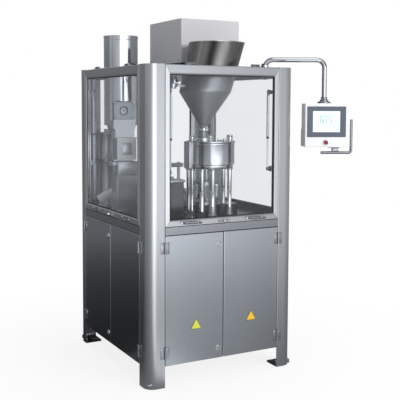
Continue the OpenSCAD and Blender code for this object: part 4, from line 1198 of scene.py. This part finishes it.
def make_floor():
    """A pale floor. Steel sees it glowing as a soft grey, brighter and darker by direction like the walls,
    with painted shade that is darker close to the machine.
    """
    s = Shape()
    s.rings([circle((0, 0), 14.0, z, 64) for z in (-0.02, 0.0)])
    bmesh.ops.recalc_face_normals(s.bm, faces=s.bm.faces)
    mesh = bpy.data.meshes.new("stage_floor")
    s.bm.to_mesh(mesh)
    s.bm.free()
    made, g = material("stage_floor")
    where = g.add("ShaderNodeTexCoord").outputs["Object"]
    metres = g.add("ShaderNodeVectorMath", {0: where}, operation="LENGTH").outputs["Value"]
    away = g.math("MULTIPLY", metres, 1 / 10.0)
    turn = direction(g, where)[0]
    walls = g.ramp(turn, WALLS)
    # Painted shade in the floor's glow: near darkens it close to the machine, dark darkens it more towards
    # the left rear, and ahead darkens it in front of the machine.
    near = g.ramp(away, ((0.0, 0.26), (0.08, 0.36), (0.13, 0.42), (0.2, 0.48), (0.28, 0.56), (0.4, 0.74),
                         (0.48, 0.86), (1.0, 0.95)))
    dark = g.ramp(away, ((0.0, 0.1), (0.12, 0.18), (0.22, 0.3), (0.32, 0.52), (0.45, 0.95), (1.0, 1.0)))
    ahead = g.ramp(turn, by_compass(((-180, 1), (-22, 1), (-13, 0.9), (-4, 0.55), (10, 0.45), (20, 0.55),
                                     (28, 0.75), (38, 0.95), (180, 1))))
    side = g.ramp(turn, by_compass(((-180, 1), (-100, 1), (-60, 0), (150, 0), (180, 1))))
    far = g.ramp(away, ((0.0, 0), (0.25, 0), (0.62, 1), (1.0, 1)))
    shade = g.mix(far, ahead, (1.0, 1.0, 1.0))
    tone = g.mix(1.0, g.mix(1.0, walls, shade, "MULTIPLY"), g.mix(side, near, dark), "MULTIPLY")
    steel_view = g.add("ShaderNodeEmission", {"Color": tone, "Strength": 1.0})
    lit = g.add("ShaderNodeBsdfDiffuse", {"Color": (0.93, 0.93, 0.935, 1)})
    white = g.add("ShaderNodeEmission", {"Color": (1, 1, 1, 1), "Strength": 1.0})
    rays = g.add("ShaderNodeLightPath").outputs
    fade = g.ramp(away, ((0.0, 0.84), (0.07, 0.86), (0.18, 1.0), (1.0, 1.0)))
    seen = g.math("MULTIPLY", rays["Is Camera Ray"], fade)
    plain = g.add("ShaderNodeMixShader", {0: seen, 1: lit.outputs[0], 2: white.outputs[0]})
    g.surface(g.add("ShaderNodeMixShader", {
        0: rays["Is Glossy Ray"], 1: plain.outputs[0], 2: steel_view.outputs[0]}))
    mesh.materials.append(made)
    floor = bpy.data.objects.new("stage_floor", mesh)
    scene.collection.objects.link(floor)


def make_world():
    """A white studio to the eye. In steel its walls are brighter and darker by direction."""
    world = bpy.data.worlds.new("studio")
    world.use_nodes = True
    scene.world = world
    g = Graph(world.node_tree)
    turn, height = direction(g, g.add("ShaderNodeTexCoord").outputs["Generated"])
    walls = g.ramp(turn, WALLS)
    lift = g.math("ADD", g.math("MULTIPLY", height, 0.5), 0.5)
    front = g.ramp(lift, ((0.0, 0.5), (0.47, 0.92), (0.5, 1.0), (0.556, 1.0), (0.58, 0.35), (0.61, 0.12),
                          (0.68, 0.16), (0.76, 0.5), (1.0, 0.9)))
    back = g.ramp(lift, ((0.0, 0.5), (0.47, 0.92), (0.52, 1.1), (0.57, 1.6), (0.65, 2.2), (0.8, 2.0),
                         (1.0, 1.4)))
    facing = g.ramp(turn, by_compass(((-180, 0), (-75, 0), (-45, 1), (75, 1), (110, 0), (180, 0))))
    studio = g.mix(1.0, walls, g.mix(facing, back, front), "MULTIPLY")
    rays = g.add("ShaderNodeLightPath").outputs
    soft = g.mix(rays["Is Diffuse Ray"], studio, (0.42, 0.42, 0.43))
    colour = g.mix(rays["Is Camera Ray"], soft, (1.0, 1.0, 1.0))
    background = g.add("ShaderNodeBackground", {"Color": colour, "Strength": 1.0})
    g.add("ShaderNodeOutputWorld", {0: background.outputs[0]})


def area_light(name, place, target, size, power):
    data = bpy.data.lights.new(name, "AREA")
    data.shape = "RECTANGLE"
    data.size = data.size_y = size
    data.energy = power
    light = bpy.data.objects.new(name, data)
    place, target = Vector(place), Vector(target)
    turn = (target - place).to_track_quat("-Z", "Y").to_matrix().to_4x4()
    light.matrix_world = Matrix.Translation(place) @ turn
    light.visible_camera = False
    light.visible_glossy = False
    scene.collection.objects.link(light)


make_floor()
make_world()
area_light("key", (1.6, -4.6, 2.8), (0, 0, 1.2), 2.4, 150)
area_light("top", (0.3, 0.2, 4.2), (0, 0, 1.0), 2.6, 60)
scene.view_settings.view_transform = "Standard"
